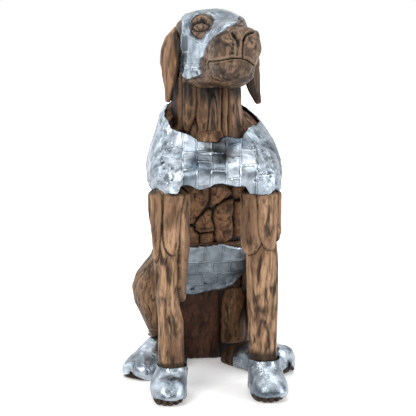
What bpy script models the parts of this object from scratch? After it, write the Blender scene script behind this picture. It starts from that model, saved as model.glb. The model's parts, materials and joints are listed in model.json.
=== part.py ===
"""Sitting hound put together from logs and slabs of root wood, partly clad in aluminium sheet.

Units are metres, +Z is up, the dog faces -Y and its left side is at +X. It stands on paws and seat at z = 0.
Every form is a skin: a run of rings, each a rounded rectangle. Slabs and sheets are patches of a skin.
"""

from collections import namedtuple
import math

import bmesh
import bpy
from mathutils import Matrix, Vector
import numpy as np

# Driving dimensions
HEIGHT = 0.807            # floor to the top of the mask
SLAB_DEPTH = 0.013        # thickness of the slabs of neck and trunk
STRIP_DEPTH = 0.009       # thickness of the strips on the forelegs
SHEET = 0.0016            # thickness of the aluminium sheet
GROOVE = 0.0035           # width of the gaps between slabs
FIT = 0.0003              # clearance between pieces that touch
SEAT = 0.0024             # how far the filler lies below the backs of the slabs
SLAB_CROWN = 0.0040       # how far a slab swells between its edges, at the drawn height
SHEET_SEAT = 0.0014       # how far a sheet lies off the wood that it covers

# The figure is drawn at this height, and every place and proportion below is a share of HEIGHT.
DRAWN_HEIGHT = 0.807
FIGURE = HEIGHT / DRAWN_HEIGHT

# The head, in the drawing's metres and degrees
HEAD_YAW = 12.0                          # how far it turns to the dog's left
HEAD_PITCH = 9.0                         # how far the muzzle points up
HEAD_ROLL = 5.0                          # how far it leans to the dog's right
HEAD_PLACE = (0.009, -0.006, 0.728)
EYE = (0.0435, -0.0340, 0.0520)          # right, down and forward of the middle of the head
EYE_SIZE = (0.0235, 0.0105)              # half its length and height
MOUTH_DOWN = 0.049                       # how far the mouth lies below the middle of the head
HEAD_TRIANGLES = 1260
MASK_TRIANGLES = 165                     # on one face of the sheet
MASK_SEAT = 0.0024                       # how far the sheet lies off the head
MASK_REACH = 118.0                       # how far down the cheeks the sheet goes, in degrees from the crown
MASK_FRONT = ((0, 36, 59, 72, 82, 92, 104, 118), (0.134, 0.137, 0.130, 0.122, 0.098, 0.074, 0.060, 0.052))
MASK_BACK = ((0, 30, 60, 118), (-0.058, -0.040, -0.002, -0.004))
WINDOW = (0.0444, -0.0332, 0.0548)       # middle of the mask's opening round each eye, as for EYE
WINDOW_FACING = (0.74, -0.50, 0.45)      # direction that it looks in
WINDOW_ALONG = (-0.43, 0.16, 0.89)       # direction of its longer axis
WINDOW_SIZE = (0.0290, 0.0350)           # half its height and length
EAR_ROOT = (0.064, -0.052, -0.034)       # right, down and forward of the middle of the head
EAR_FLARE = {"right": -0.19, "left": 0.27}   # how far each ear swings out for each metre that it hangs
EAR_FACING = {"right": 30, "left": 52}        # degrees that the face of each ear turns to the front
EAR_DROP = {"right": 0.0, "left": 0.014}     # how much lower each ear hangs

# Legs and tail, in the drawing's metres
LEG_FOOT = {"right": -0.0960, "left": 0.0985}    # where each foreleg meets its paw
LEG_TOP = 0.0960                                 # where each foreleg meets the shoulders
HAUNCH_INNER = {"right": 0.1095, "left": 0.1175}    # how far the flat inner side lies from the middle plane
HEEL = {"right": 0.048, "left": 0.055}               # how far each heel lies from the middle plane
TAIL_LEVEL = 0.0215

Finish = namedtuple("Finish", "colour roughness metallic")
WOOD = Finish((0.30, 0.16, 0.075), 0.62, 0.0)
DARK_WOOD = Finish((0.17, 0.085, 0.045), 0.62, 0.0)
FILLER = Finish((0.02, 0.018, 0.016), 0.8, 0.0)
ALUMINIUM = Finish((0.62, 0.64, 0.66), 0.32, 1.0)


def smooth_between(knots, values, at):
    """Values of a smooth curve through (knots, values) at the places `at`, held level beyond its ends."""
    knots = np.asarray(knots, float)
    values = np.asarray(values, float)
    at = np.clip(np.asarray(at, float), knots[0], knots[-1])
    slope = np.gradient(values, knots, axis=0)
    index = np.clip(np.searchsorted(knots, at) - 1, 0, len(knots) - 2)
    span = knots[index + 1] - knots[index]
    t = (at - knots[index]) / span
    extra = (1,) * (values.ndim - 1)
    t = t.reshape(t.shape + extra)
    span = span.reshape(span.shape + extra)
    return (
        (2 * t**3 - 3 * t**2 + 1) * values[index]
        + (t**3 - 2 * t**2 + t) * span * slope[index]
        + (3 * t**2 - 2 * t**3) * values[index + 1]
        + (t**3 - t**2) * span * slope[index + 1]
    )


def unit(vectors):
    """The vectors at length one."""
    return vectors / np.maximum(np.linalg.norm(vectors, axis=-1, keepdims=True), 1e-12)


def bump(distance, radius):
    """A smooth hill of height one at distance 0 that ends at `radius`."""
    share = np.clip(1 - (distance / radius) ** 2, 0, 1)
    return share * share


class Skin:
    """A closed form drawn as rings along an axis.

    Each ring has a level along the axis, a centre, half a width and depth, a squareness and a tilt in
    degrees that lowers its front. Turns are in degrees, 0 at the front and growing toward the local +X
    side. `relief` moves the surface outward: it takes points in local space and gives distances. With
    `flat` set, offsets stay in the plane of each ring, so that ends of slabs keep their level.
    """

    def __init__(self, rings, place=None, relief=None, flat=False):
        self.rings = np.array(rings, float)
        self.flat = flat
        self.rings[:, :5] *= FIGURE
        self.place = np.array(place if place is not None else Matrix.Identity(4))
        self.relief = relief

    @property
    def low(self):
        return self.rings[0, 0]

    @property
    def high(self):
        return self.rings[-1, 0]

    def local(self, turns, levels):
        turns, levels = np.broadcast_arrays(np.radians(turns), levels)
        values = smooth_between(self.rings[:, 0], self.rings[:, 1:], levels)
        across, middle, half_width, half_depth, square, tilt = np.moveaxis(values, -1, 0)
        power = 2 / square
        sine, cosine = np.sin(turns), np.cos(turns)
        side = half_width * np.sign(sine) * np.abs(sine) ** power
        front = half_depth * np.sign(cosine) * np.abs(cosine) ** power
        tilt = np.radians(tilt)
        below = np.minimum(levels - self.low, 0) + np.maximum(levels - self.high, 0)
        points = np.stack(
            [across + side, middle - front * np.cos(tilt), np.clip(levels, self.low, self.high) + below
             - front * np.sin(tilt)], axis=-1,
        )
        return points

    def normals(self, turns, levels):
        turns, levels = np.broadcast_arrays(np.asarray(turns, float), np.asarray(levels, float))
        step, rise = 0.7, 0.0012 * FIGURE
        round_ = self.local(turns + step, levels) - self.local(turns - step, levels)
        if self.flat:
            tilt = np.radians(smooth_between(self.rings[:, 0], self.rings[:, 6], levels))
            return unit(np.cross(round_, np.stack([0 * tilt, -np.sin(tilt), np.cos(tilt)], axis=-1)))
        top = np.clip(levels + rise, self.low, self.high)
        bottom = np.clip(levels - rise, self.low, self.high)
        along = self.local(turns, top) - self.local(turns, bottom)
        return unit(np.cross(round_, along))

    def at(self, turns, levels, out=0.0):
        """World points `out` metres outside the skin."""
        points = self.local(turns, levels)
        normals = self.normals(turns, levels)
        lift = np.broadcast_to(np.asarray(out, float), points.shape[:-1])
        if self.relief is not None:
            lift = lift + self.relief(points / FIGURE) * FIGURE
        points = points + normals * lift[..., None]
        return points @ self.place[:3, :3].T + self.place[:3, 3]


def placed(origin, along, top):
    """A frame whose rings follow one another toward `along`, with turn 0 on the `top` side."""
    axis = Vector(along).normalized()
    front = Vector(top)
    front = (front - axis * front.dot(axis)).normalized()
    depth = -front
    side = depth.cross(axis)
    frame = Matrix((side, depth, axis)).transposed().to_4x4()
    frame.translation = Vector(origin) * FIGURE
    return frame


def make_material(name, finish):
    """A plain material of this name, made once."""
    material = bpy.data.materials.get(name)
    if material is None:
        material = bpy.data.materials.new(name)
        material.use_nodes = True
        shader = material.node_tree.nodes["Principled BSDF"]
        shader.inputs["Base Color"].default_value = (*finish.colour, 1.0)
        shader.inputs["Roughness"].default_value = finish.roughness
        shader.inputs["Metallic"].default_value = finish.metallic
    return material


def add_object(name, bm, finish, sharp_degrees=40.0):
    """Turns a closed bmesh in world space into a named object with its own material."""
    bmesh.ops.remove_doubles(bm, verts=bm.verts, dist=1e-6)
    bmesh.ops.recalc_face_normals(bm, faces=bm.faces)
    mesh = bpy.data.meshes.new(name)
    bm.to_mesh(mesh)
    bm.free()
    mesh.shade_smooth()
    mesh.set_sharp_from_angle(angle=math.radians(sharp_degrees))
    mesh.materials.append(make_material(name, finish))
    piece = bpy.data.objects.new(name, mesh)
    bpy.context.scene.collection.objects.link(piece)
    return piece


def grid_faces(bm, rows, wrap):
    """Faces between rows of vertices; `wrap` closes each row on itself."""
    count = len(rows[0])
    for low, high in zip(rows[:-1], rows[1:]):
        for i in range(count if wrap else count - 1):
            j = (i + 1) % count
            bm.faces.new((low[i], low[j], high[j], high[i]))


def add_rows(bm, grid):
    """Vertices for a grid of points."""
    return [[bm.verts.new(point) for point in row] for row in grid]


def lofted(skin, levels, columns, out=0.0):
    """A closed solid of a skin between the first and last level, with flat ends.

    `columns` is their number round the form, or their turns.
    """
    turns = np.arange(columns) * 360.0 / columns if isinstance(columns, int) else columns
    grid = skin.at(turns[None, :], np.asarray(levels, float)[:, None], out)
    bm = bmesh.new()
    rows = add_rows(bm, grid)
    grid_faces(bm, rows, wrap=True)
    bm.faces.new(rows[0][::-1])
    bm.faces.new(rows[-1])
    return bm


def levels_of(skin, count, low=None, high=None):
    """Evenly spaced levels between two drawn levels of a skin, or between its ends."""
    first = skin.low if low is None else low * FIGURE
    last = skin.high if high is None else high * FIGURE
    return np.linspace(first, last, count)


# One slab of a skin: turns of its left and right borders at its low and high ends, the lines of levels
# that it lies between, the gap that it keeps to them, and how far each end narrows.
Patch = namedtuple("Patch", "left_low left_high right_low right_high low high gap narrow_low narrow_high",
                   defaults=(0.0, 0.0, 0.0))

ALONG = np.array([0.0, 0.10, 0.5, 0.90, 1.0])


def even(level):
    """A line that keeps one level all round."""
    return ((0.0, level),)


def line_level(line, turns):
    """Levels of a line of (turn, drawn level) pairs at these turns. The line closes on itself."""
    knots, levels = zip(*line)
    return np.interp(turns, knots, levels, period=360) * FIGURE


def columns_of(patch, ridge_step):
    """Turns of a slab's inner columns: the ridges of the form that it lies on, at least two."""
    left, right = max(patch.left_low, patch.left_high), min(patch.right_low, patch.right_high)
    margin = 0.10 * (right - left)
    first = math.ceil((left + margin) / ridge_step)
    last = math.floor((right - margin) / ridge_step)
    ridges = list(np.arange(first, last + 1) * ridge_step)
    if len(ridges) < 2 or ridges[0] - left > 0.75 * ridge_step:
        ridges.insert(0, left + 1.6 * margin)
    if len(ridges) < 2 or right - ridges[-1] > 0.75 * ridge_step:
        ridges.append(right - 1.6 * margin)
    return np.array(ridges)


def patch_grid(patch, columns, along):
    """Turns, levels and shares across of a patch at these inner columns and shares along it."""
    t = along[:, None]
    left = patch.left_low + (patch.left_high - patch.left_low) * t
    right = patch.right_low + (patch.right_high - patch.right_low) * t
    waist = (1 - patch.narrow_low * (1 - t) ** 3) * (1 - patch.narrow_high * t**3)
    middle, half = (left + right) / 2, (right - left) / 2 * waist
    order = np.arange(1, len(columns) + 1) / (len(columns) + 1)
    inner = np.clip(columns, middle - half * (1 - order), middle + half * order)
    turns = np.hstack([middle - half, inner, middle + half])
    low = line_level(patch.low, turns) + patch.gap
    high = line_level(patch.high, turns) - patch.gap
    return turns, low + (high - low) * t, (turns - middle + half) / (2 * half)


def slab_body(skin, patch, top, bottom, edge_drop, crown, columns, along=ALONG):
    """A closed slab `bottom` to `top` metres outside a skin, with dropped edges and a slight crown."""
    turns, levels, s = patch_grid(patch, columns, along)
    t = np.broadcast_to(along[:, None], turns.shape)
    rim = np.ones(turns.shape, bool)
    rim[1:-1, 1:-1] = False
    swell = np.sqrt(np.clip(16 * s * (1 - s) * t * (1 - t), 0, 1))
    upper = top + crown * swell - np.where(rim, edge_drop, 0.0)
    bm = bmesh.new()
    outer_rows = add_rows(bm, skin.at(turns, levels, upper))
    inner_rows = add_rows(bm, skin.at(turns, levels, bottom))
    grid_faces(bm, outer_rows, wrap=False)
    grid_faces(bm, [row[::-1] for row in inner_rows], wrap=False)
    join_rims(bm, outer_rows, inner_rows)
    return bm


def rim_of(rows):
    """The vertices round a grid's edge, in order."""
    sides = rows[0] + [row[-1] for row in rows[1:-1]] + rows[-1][::-1] + [row[0] for row in rows[-2:0:-1]]
    return sides


def join_rims(bm, outer_rows, inner_rows):
    """Side walls between two grids of the same shape."""
    outer, inner = rim_of(outer_rows), rim_of(inner_rows)
    for i in range(len(outer)):
        j = (i + 1) % len(outer)
        bm.faces.new((outer[j], outer[i], inner[i], inner[j]))


def tier(skin, names, borders, low_line, high_line, narrow=(0.12, 0.12)):
    """Patches side by side on a skin, between two lines of levels.

    `borders` gives for each border its turn at the low and high line. Neighbours share borders and lines, so
    that the gaps between slabs keep one width.
    """
    radius = float(np.mean(skin.rings[:, 3:5]))
    half_gap = math.degrees(GROOVE / 2 / radius)
    return {
        name: Patch(left[0] + half_gap, left[1] + half_gap, right[0] - half_gap, right[1] - half_gap,
                    low_line, high_line, GROOVE / 2, *narrow)
        for name, left, right in zip(names, borders[:-1], borders[1:])
    }


def add_tier(skin, patches, finish, ridge_step, along=ALONG):
    """One slab object for each patch, its back resting over the filler."""
    for name, patch in patches.items():
        columns = columns_of(patch, ridge_step)
        bm = slab_body(skin, patch, 0.0, -SLAB_DEPTH, 0.004 * FIGURE, SLAB_CROWN * FIGURE, columns, along)
        add_object(name, bm, finish)


# Rings: level, across, middle, half width, half depth, squareness, tilt

def trunk_skin():
    """Outer skin of the trunk, from the seat to the shoulders."""
    return Skin([
        (0.000, 0.004, 0.256, 0.099, 0.062, 3.2, 0),
        (0.060, 0.004, 0.254, 0.107, 0.070, 3.4, 0),
        (0.120, 0.004, 0.247, 0.109, 0.078, 3.4, 0),
        (0.180, 0.004, 0.231, 0.109, 0.085, 3.3, 0),
        (0.240, 0.004, 0.201, 0.109, 0.094, 3.1, 0),
        (0.300, 0.003, 0.161, 0.109, 0.101, 2.9, 0),
        (0.360, 0.002, 0.119, 0.110, 0.107, 2.7, 0),
        (0.440, 0.002, 0.064, 0.112, 0.112, 2.5, 0),
    ], flat=True)


def shoulder_skin():
    """Skin of the shoulder yoke, from the tops of the legs to the foot of the neck."""
    return Skin([
        (0.440, 0.000, 0.036, 0.1425, 0.160, 5.4, 0),
        (0.475, 0.002, 0.034, 0.141, 0.158, 3.8, 2),
        (0.505, 0.005, 0.032, 0.137, 0.147, 2.6, 7),
        (0.535, 0.004, 0.029, 0.126, 0.127, 2.3, 15),
        (0.560, 0.002, 0.026, 0.106, 0.106, 2.2, 22),
        (0.580, 0.000, 0.022, 0.077, 0.083, 2.1, 28),
    ])


def neck_skin():
    """Outer skin of the neck."""
    return Skin([
        (0.580, -0.002, 0.022, 0.074, 0.079, 2.1, 28),
        (0.605, -0.005, 0.020, 0.073, 0.075, 2.1, 20),
        (0.640, -0.007, 0.020, 0.073, 0.069, 2.1, 8),
        (0.665, -0.007, 0.021, 0.070, 0.061, 2.1, 2),
        (0.700, -0.006, 0.023, 0.056, 0.050, 2.1, -4),
    ], flat=True)


def mirrored_turns(patch):
    """The patch on the other side of the figure."""
    return patch._replace(
        left_low=-patch.right_low, left_high=-patch.right_high,
        right_low=-patch.left_low, right_high=-patch.left_high,
        low=tuple((-turn, level) for turn, level in patch.low),
        high=tuple((-turn, level) for turn, level in patch.high),
    )


def build_trunk():
    """The filler body, the slabs round it and the belly plate."""
    skin = trunk_skin()
    ridges = 18
    filler = lofted(skin, levels_of(skin, 8, 0.0, 0.4397), ridges, -(SLAB_DEPTH + SEAT))
    add_object("body_filler", filler, FILLER)

    # Lines of levels between the tiers, as pairs of turn and level
    floor = even(-GROOVE / 2 / FIGURE)
    seat_line = ((-50, 0.163), (50, 0.170))
    belly_line = ((-50, 0.303), (50, 0.306))
    middle_line = ((-50, 0.352), (-9, 0.390), (26, 0.412), (50, 0.420))
    chest_line = even(0.4395)
    step = 360 / ridges

    add_tier(skin, tier(
        skin, ["seat_slab_front", "seat_board", "seat_flank_left", "seat_back_left", "seat_back_right",
               "seat_flank_right"],
        [(-50, -50), (12, 9), (50, 50), (128, 124), (182, 178), (236, 236), (310, 310)],
        floor, seat_line, narrow=(0.02, 0.06)), DARK_WOOD, step)
    add_tier(skin, tier(
        skin, ["belly_board", "flank_slab_left", "back_slab_low", "flank_slab_right"],
        [(-50, -50), (50, 50), (135, 140), (225, 220), (310, 310)],
        seat_line, belly_line, narrow=(0.04, 0.04)), WOOD, step)
    add_tier(skin, tier(
        skin, ["chest_slab_mottled", "chest_slab_large", "chest_strip"],
        [(-50, -50), (-7, -9), (24, 28), (50, 50)],
        belly_line, middle_line, narrow=(0.22, 0.08)), WOOD, step)
    add_tier(skin, tier(
        skin, ["chest_slab_right", "chest_slab_upper", "chest_slab_corner"],
        [(-50, -50), (-12, -9), (28, 22), (50, 50)],
        middle_line, chest_line, narrow=(0.12, 0.12)), WOOD, step)
    add_tier(skin, tier(
        skin, ["shoulder_slab_left", "back_slab_left", "back_slab_right", "shoulder_slab_right"],
        [(50, 50), (114, 118), (178, 182), (246, 242), (310, 310)],
        belly_line, chest_line, narrow=(0.04, 0.04)), WOOD, step)

    edge = ((-46, 0.165), (0, 0.172), (16, 0.180), (27, 0.190), (42, 0.236))
    plate = Patch(-46, -42, 41, 43, edge, even(0.302))
    lift = SHEET_SEAT + (SLAB_CROWN + 0.0005) * FIGURE
    body = slab_body(skin, plate, lift + SHEET, lift, 0.0, 0.0, np.array([-31, -15, 0, 16, 28]),
                     np.linspace(0, 1, 4))
    add_object("belly_plate", body, ALUMINIUM)


def build_shoulders():
    """The wooden yoke and the aluminium cape over it."""
    skin = shoulder_skin()
    turns = np.arange(0.0, 360.0, 15.0)
    inner_rows = (0.470, 0.500, 0.528, 0.554)
    levels = np.array([0.4420, *inner_rows, 0.5797]) * FIGURE
    add_object("shoulders", lofted(skin, levels, turns, -2 * SHEET_SEAT), DARK_WOOD)

    ragged = np.sin(np.radians(turns * 5 + 40)) * 0.35 + np.sin(np.radians(turns * 11 + 10)) * 0.45
    over_legs = bump(np.abs(np.abs((turns + 180) % 360 - 180) - 48), 30)
    lower = 0.447 + 0.004 * ragged - 0.019 * over_legs
    upper = 0.5765 + 0.002 * np.roll(ragged, 7)
    rows = [lower] + [np.full(len(turns), level) for level in inner_rows] + [upper]
    add_object("shoulder_cape", sleeve(skin, turns, np.array(rows) * FIGURE), ALUMINIUM)


def build_neck():
    """The filler, the upright slabs round it and the knob at its foot."""
    skin = neck_skin()
    ridges = 16
    low, high = 0.5806, 0.6880
    along = np.array([0.0, 0.12, 0.45, 0.79, 1.0])
    filler = lofted(skin, (low - 0.0003 + (high - low) * along) * FIGURE, ridges, -(SLAB_DEPTH + SEAT))
    add_object("neck_filler", filler, FILLER)
    names = ["neck_slab_side_right", "neck_slab_leaf", "neck_slab_front", "neck_slab_narrow",
             "neck_slab_side_left", "neck_slab_nape_left", "neck_slab_nape", "neck_slab_nape_right"]
    borders = [(-92, -88), (-52, -62), (-10, -16), (22, 26), (38, 40), (88, 86), (140, 136), (206, 210),
               (268, 272)]
    patches = tier(skin, names, borders, even(low), even(high), narrow=(0.05, 0.0))
    patches["neck_slab_leaf"] = patches["neck_slab_leaf"]._replace(narrow_low=0.55)
    add_tier(skin, patches, DARK_WOOD, 360 / ridges, along)

    knob = Patch(-16, -12, 26, 22, even(0.5815), even(0.598), 0.0, 0.1, 0.35)
    lift = (SLAB_CROWN + 0.0005) * FIGURE
    body = slab_body(skin, knob, lift + 0.006 * FIGURE, lift, 0.003 * FIGURE, 0.002 * FIGURE,
                     np.array([-6.0, 5.0, 16.0]), np.array([0, 0.4, 0.8, 1.0]))
    add_object("throat_knob", body, WOOD)


def build_foreleg(side, name):
    """A foreleg log with the strips laid on its upper half. `side` is +1 for the dog's left."""
    foot, top = LEG_FOOT[name], LEG_TOP * side
    log = Skin([
        (0.060, foot, -0.082, 0.0275, 0.028, 2.2, 0),
        (0.085, foot, -0.081, 0.0265, 0.027, 2.2, 0),
        (0.150, foot * 0.8 + top * 0.2, -0.080, 0.0270, 0.028, 2.2, 0),
        (0.240, foot * 0.4 + top * 0.6, -0.079, 0.0285, 0.030, 2.2, 0),
        (0.300, top, -0.077, 0.0310, 0.031, 2.2, 0),
        (0.440, top, -0.074, 0.0320, 0.033, 2.2, 0),
    ], flat=True)
    ridges = 14
    add_object(f"foreleg_{name}", lofted(log, levels_of(log, 7, 0.0603, 0.4397), ridges), WOOD)
    end = even(0.4392)
    strips = {
        "outer_strip": Patch(58, 52, 112, 118, even(0.296), end, 0.0, 0.6, 0.0),
        "front_slab": Patch(-30, -34, 42, 44, even(0.306), end, 0.0, 0.45, 0.0),
        "inner_strip": Patch(-100, -104, -42, -42, even(0.216), end, 0.0, 0.3, 0.0),
    }
    for strip, patch in strips.items():
        patch = patch if side > 0 else mirrored_turns(patch)
        columns = columns_of(patch, 360 / ridges)
        body = slab_body(log, patch, STRIP_DEPTH, FIT + 0.0006, 0.004 * FIGURE, 0.001 * FIGURE, columns)
        add_object(f"foreleg_{strip}_{name}", body, WOOD)


def build_front_paw(side, name):
    """A wooden paw with four toes, and its aluminium cover."""
    x = LEG_FOOT[name] + 0.003 * side

    def toes(points):
        """Three grooves between the toes, at the front of the paw."""
        forward = np.clip((-0.095 - points[..., 1]) / 0.03, 0, 1)
        low = np.clip((0.034 - points[..., 2]) / 0.02, 0, 1)
        depth = sum(bump(points[..., 0] - x - place, 0.0065) for place in (-0.017, 0.0, 0.017))
        return -0.0045 * depth * forward * low

    paw = Skin([
        (0.000, x, -0.101, 0.0330, 0.050, 2.6, 0),
        (0.010, x, -0.104, 0.0375, 0.056, 2.6, 0),
        (0.030, x, -0.103, 0.0370, 0.053, 2.5, 0),
        (0.045, LEG_FOOT[name], -0.094, 0.0340, 0.044, 2.4, 0),
        (0.0600, LEG_FOOT[name], -0.084, 0.0300, 0.033, 2.3, 0),
    ], relief=toes, flat=True)
    turns = np.array([-150, -115, -85, -60, -42, -29, -18, -7, 7, 18, 29, 42, 60, 85, 115, 150, 180.0])
    inner_rows = (0.026, 0.043)
    levels = np.array([0.0, 0.009, *inner_rows, 0.0597]) * FIGURE
    add_object(f"front_paw_{name}", lofted(paw, levels, turns), DARK_WOOD)

    ragged = np.sin(np.radians(turns * 3 + 60 * side)) + np.sin(np.radians(turns * 7))
    rows = [0.015 + 0.003 * ragged] + [np.full(len(turns), level) for level in (*inner_rows, 0.0590)]
    add_object(f"front_paw_cover_{name}", sleeve(paw, turns, np.array(rows) * FIGURE), ALUMINIUM)


def sleeve(skin, turns, levels):
    """A sheet right round a skin, open at both ends."""
    bm = bmesh.new()
    outer = add_rows(bm, skin.at(turns[None, :], levels, SHEET_SEAT + SHEET))
    inner = add_rows(bm, skin.at(turns[None, :], levels, SHEET_SEAT))
    grid_faces(bm, outer, wrap=True)
    grid_faces(bm, [row[::-1] for row in inner], wrap=True)
    for rim_outer, rim_inner in ((outer[0], inner[0]), (outer[-1], inner[-1])):
        for i in range(len(turns)):
            j = (i + 1) % len(turns)
            bm.faces.new((rim_outer[i], rim_outer[j], rim_inner[j], rim_inner[i]))
    return bm


def decimated(bm, triangles):
    """The same surface with about this many triangles, as a new bmesh."""
    mesh = bpy.data.meshes.new("fine")
    bmesh.ops.triangulate(bm, faces=bm.faces)
    share = triangles / len(bm.faces)
    bm.to_mesh(mesh)
    bm.free()
    helper = bpy.data.objects.new("fine", mesh)
    bpy.context.scene.collection.objects.link(helper)
    modifier = helper.modifiers.new("fewer faces", "DECIMATE")
    modifier.ratio = share
    graph = bpy.context.evaluated_depsgraph_get()
    coarse = bmesh.new()
    coarse.from_mesh(helper.evaluated_get(graph).to_mesh())
    bpy.data.objects.remove(helper)
    return coarse


def swollen_copy(piece, distance, name):
    """A cutter shaped as the piece, grown outward by a clearance."""
    bm = bmesh.new()
    bm.from_mesh(piece.data)
    bm.normal_update()
    for vert in bm.verts:
        vert.co += vert.normal * distance
    mesh = bpy.data.meshes.new(name)
    bm.to_mesh(mesh)
    bm.free()
    cutter = bpy.data.objects.new(name, mesh)
    bpy.context.scene.collection.objects.link(cutter)
    return as_cutter(cutter)


def as_cutter(piece):
    """The piece, hidden as a guide for cuts."""
    piece.hide_render = True
    piece.display_type = "WIRE"
    return piece


def cut_by(piece, cutter):
    """Takes the cutter's volume out of the piece."""
    modifier = piece.modifiers.new("seat against " + cutter.name, "BOOLEAN")
    modifier.operation = "DIFFERENCE"
    modifier.object = cutter


def keep_side(bm, point, normal):
    """Cuts a closed bmesh by a plane and keeps what lies on the side that the normal points to."""
    cut = bmesh.ops.bisect_plane(
        bm, geom=bm.verts[:] + bm.edges[:] + bm.faces[:], plane_co=Vector(point) * FIGURE,
        plane_no=Vector(normal), clear_inner=True,
    )
    edges = [item for item in cut["geom_cut"] if isinstance(item, bmesh.types.BMEdge)]
    bmesh.ops.contextual_create(bm, geom=edges)


def head_frame():
    """Local +X is the dog's right, +Y down and +Z forward along the muzzle."""
    yaw, pitch, roll = (math.radians(v) for v in (HEAD_YAW, HEAD_PITCH, HEAD_ROLL))
    forward = Vector((math.sin(yaw) * math.cos(pitch), -math.cos(yaw) * math.cos(pitch), math.sin(pitch)))
    side = Vector((-math.cos(yaw), -math.sin(yaw), 0.0))
    up = forward.cross(side) * -1.0
    top = up * math.cos(roll) + side * math.sin(roll)
    return placed(HEAD_PLACE, forward, top)


def step_up(value, start, end):
    """0 below start, 1 above end, smooth between."""
    t = np.clip((value - start) / (end - start), 0, 1)
    return t * t * (3 - 2 * t)


def head_relief(points):
    """Carving of the head: brows, eyes, nose, nostrils, lips, mouth and chin, in metres outward."""
    right, down, forward = points[..., 0], points[..., 1], points[..., 2]
    side = np.abs(right)

    along = forward - EYE[2]
    eye = np.hypot(along / EYE_SIZE[0], (down - EYE[1] - 0.17 * along) / EYE_SIZE[1])
    facing = step_up(side, 0.020, 0.028)
    lift = facing * (-0.0050 * bump(eye, 1.9) - 0.0030 * bump(eye - 1.0, 0.40) + 0.0062 * bump(eye, 1.0))
    brow = np.hypot((side - 0.036) / 1.3, forward - 0.044) + 0.6 * np.abs(down + 0.060)
    lift = lift + 0.0040 * bump(brow, 0.024)
    lift = lift - 0.0040 * bump(np.hypot(side, forward - 0.066), 0.024) * step_up(-down, 0.0, 0.02)

    lip_line = MOUTH_DOWN - 0.009 * step_up(-forward, -0.130, -0.065)
    lip_line = lip_line + 0.6 * np.clip(-0.004 - right, 0, 0.03)
    in_front = step_up(forward, 0.060, 0.070)
    lift = lift - 0.0060 * bump(down - lip_line, 0.0065) * in_front
    lift = lift - 0.0045 * bump(np.hypot(forward - 0.066, (down - 0.040) * 0.6), 0.008)
    flew = np.hypot(forward - 0.118, (down - 0.020) * 1.1)
    lift = lift + 0.0035 * bump(flew, 0.036) * step_up(side, 0.012, 0.030)
    lift = lift - 0.0035 * step_up(down, lip_line, lip_line + 0.006) * in_front

    front = step_up(forward, 0.122, 0.138)
    nostril = np.hypot(side - 0.0145, (down - 0.001) * 0.8)
    pad = step_up(-down, -0.014, -0.009) * step_up(forward, 0.126, 0.136) * step_up(-side, -0.030, -0.024)
    lift = lift + 0.0035 * pad + front * (0.0025 * bump(nostril, 0.0115) - 0.0080 * bump(nostril, 0.0062))
    groove = step_up(down, 0.004, 0.010) * step_up(-down, -MOUTH_DOWN, -MOUTH_DOWN + 0.006)
    return lift - 0.0050 * front * bump(side, 0.0070) * groove


def head_skin():
    """Skull, muzzle and jaw as rings from the back of the head to the nose."""
    profile = [  # forward, crown, throat, half width, squareness
        (-0.083, 0.010, -0.034, 0.024, 2.0),
        (-0.076, 0.038, -0.058, 0.048, 2.3),
        (-0.058, 0.060, -0.078, 0.067, 3.0),
        (-0.028, 0.072, -0.090, 0.0735, 3.7),
        (0.002, 0.074, -0.093, 0.0730, 3.7),
        (0.028, 0.068, -0.095, 0.0690, 3.5),
        (0.050, 0.054, -0.097, 0.0630, 3.0),
        (0.072, 0.042, -0.096, 0.0575, 2.6),
        (0.100, 0.033, -0.095, 0.0540, 2.4),
        (0.124, 0.027, -0.091, 0.0520, 2.5),
        (0.140, 0.020, -0.082, 0.0460, 2.5),
        (0.149, 0.008, -0.070, 0.0350, 2.4),
        (0.153, -0.006, -0.054, 0.0200, 2.2),
    ]
    rings = [
        (forward, 0.0, -(crown + throat) / 2, half_width, (crown - throat) / 2, square, 0.0)
        for forward, crown, throat, half_width, square in profile
    ]
    return Skin(rings, head_frame(), head_relief)


def build_head(neck_room):
    """The carved head, its aluminium mask and the two ears."""
    skin = head_skin()
    shares = np.linspace(0, 1, 80)
    levels = skin.low + (skin.high - skin.low) * (0.5 - 0.5 * np.cos(np.pi * shares))
    head = add_object("head", decimated(lofted(skin, levels, 84), HEAD_TRIANGLES), WOOD)
    cut_by(head, neck_room)
    build_mask(skin, neck_room)
    shell = swollen_copy(head, FIT, "head_seat")
    for side, name in ((1, "right"), (-1, "left")):
        build_ear(side, name, shell, neck_room)


def build_mask(skin, neck_room):
    """The sheet over forehead and cheeks, with an opening round each eye."""
    turns = np.linspace(-MASK_REACH, MASK_REACH, 81)
    front = np.interp(np.abs(turns), *MASK_FRONT)
    back = np.interp(np.abs(turns), *MASK_BACK)
    levels = (back + (front - back) * np.linspace(0, 1, 31)[:, None]) * FIGURE
    bm = bmesh.new()
    grid_faces(bm, add_rows(bm, skin.at(turns, levels, MASK_SEAT)), wrap=False)
    mask = add_object("face_mask", thickened(decimated(bm, MASK_TRIANGLES), SHEET), ALUMINIUM)
    cut_by(mask, neck_room)
    for side, name in ((1, "right"), (-1, "left")):
        mirror = Vector((side, 1, 1))
        middle, facing, along = (Vector(value) * mirror for value in (WINDOW, WINDOW_FACING, WINDOW_ALONG))
        rings = [(level, 0, 0, *WINDOW_SIZE, 2, 0) for level in (-0.03, 0.03)]
        window = Skin(rings, head_frame() @ placed(middle, facing, along))
        body = lofted(window, levels_of(window, 2), 18)
        cut_by(mask, as_cutter(add_object(f"eye_window_{name}", body, FILLER)))


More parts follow.
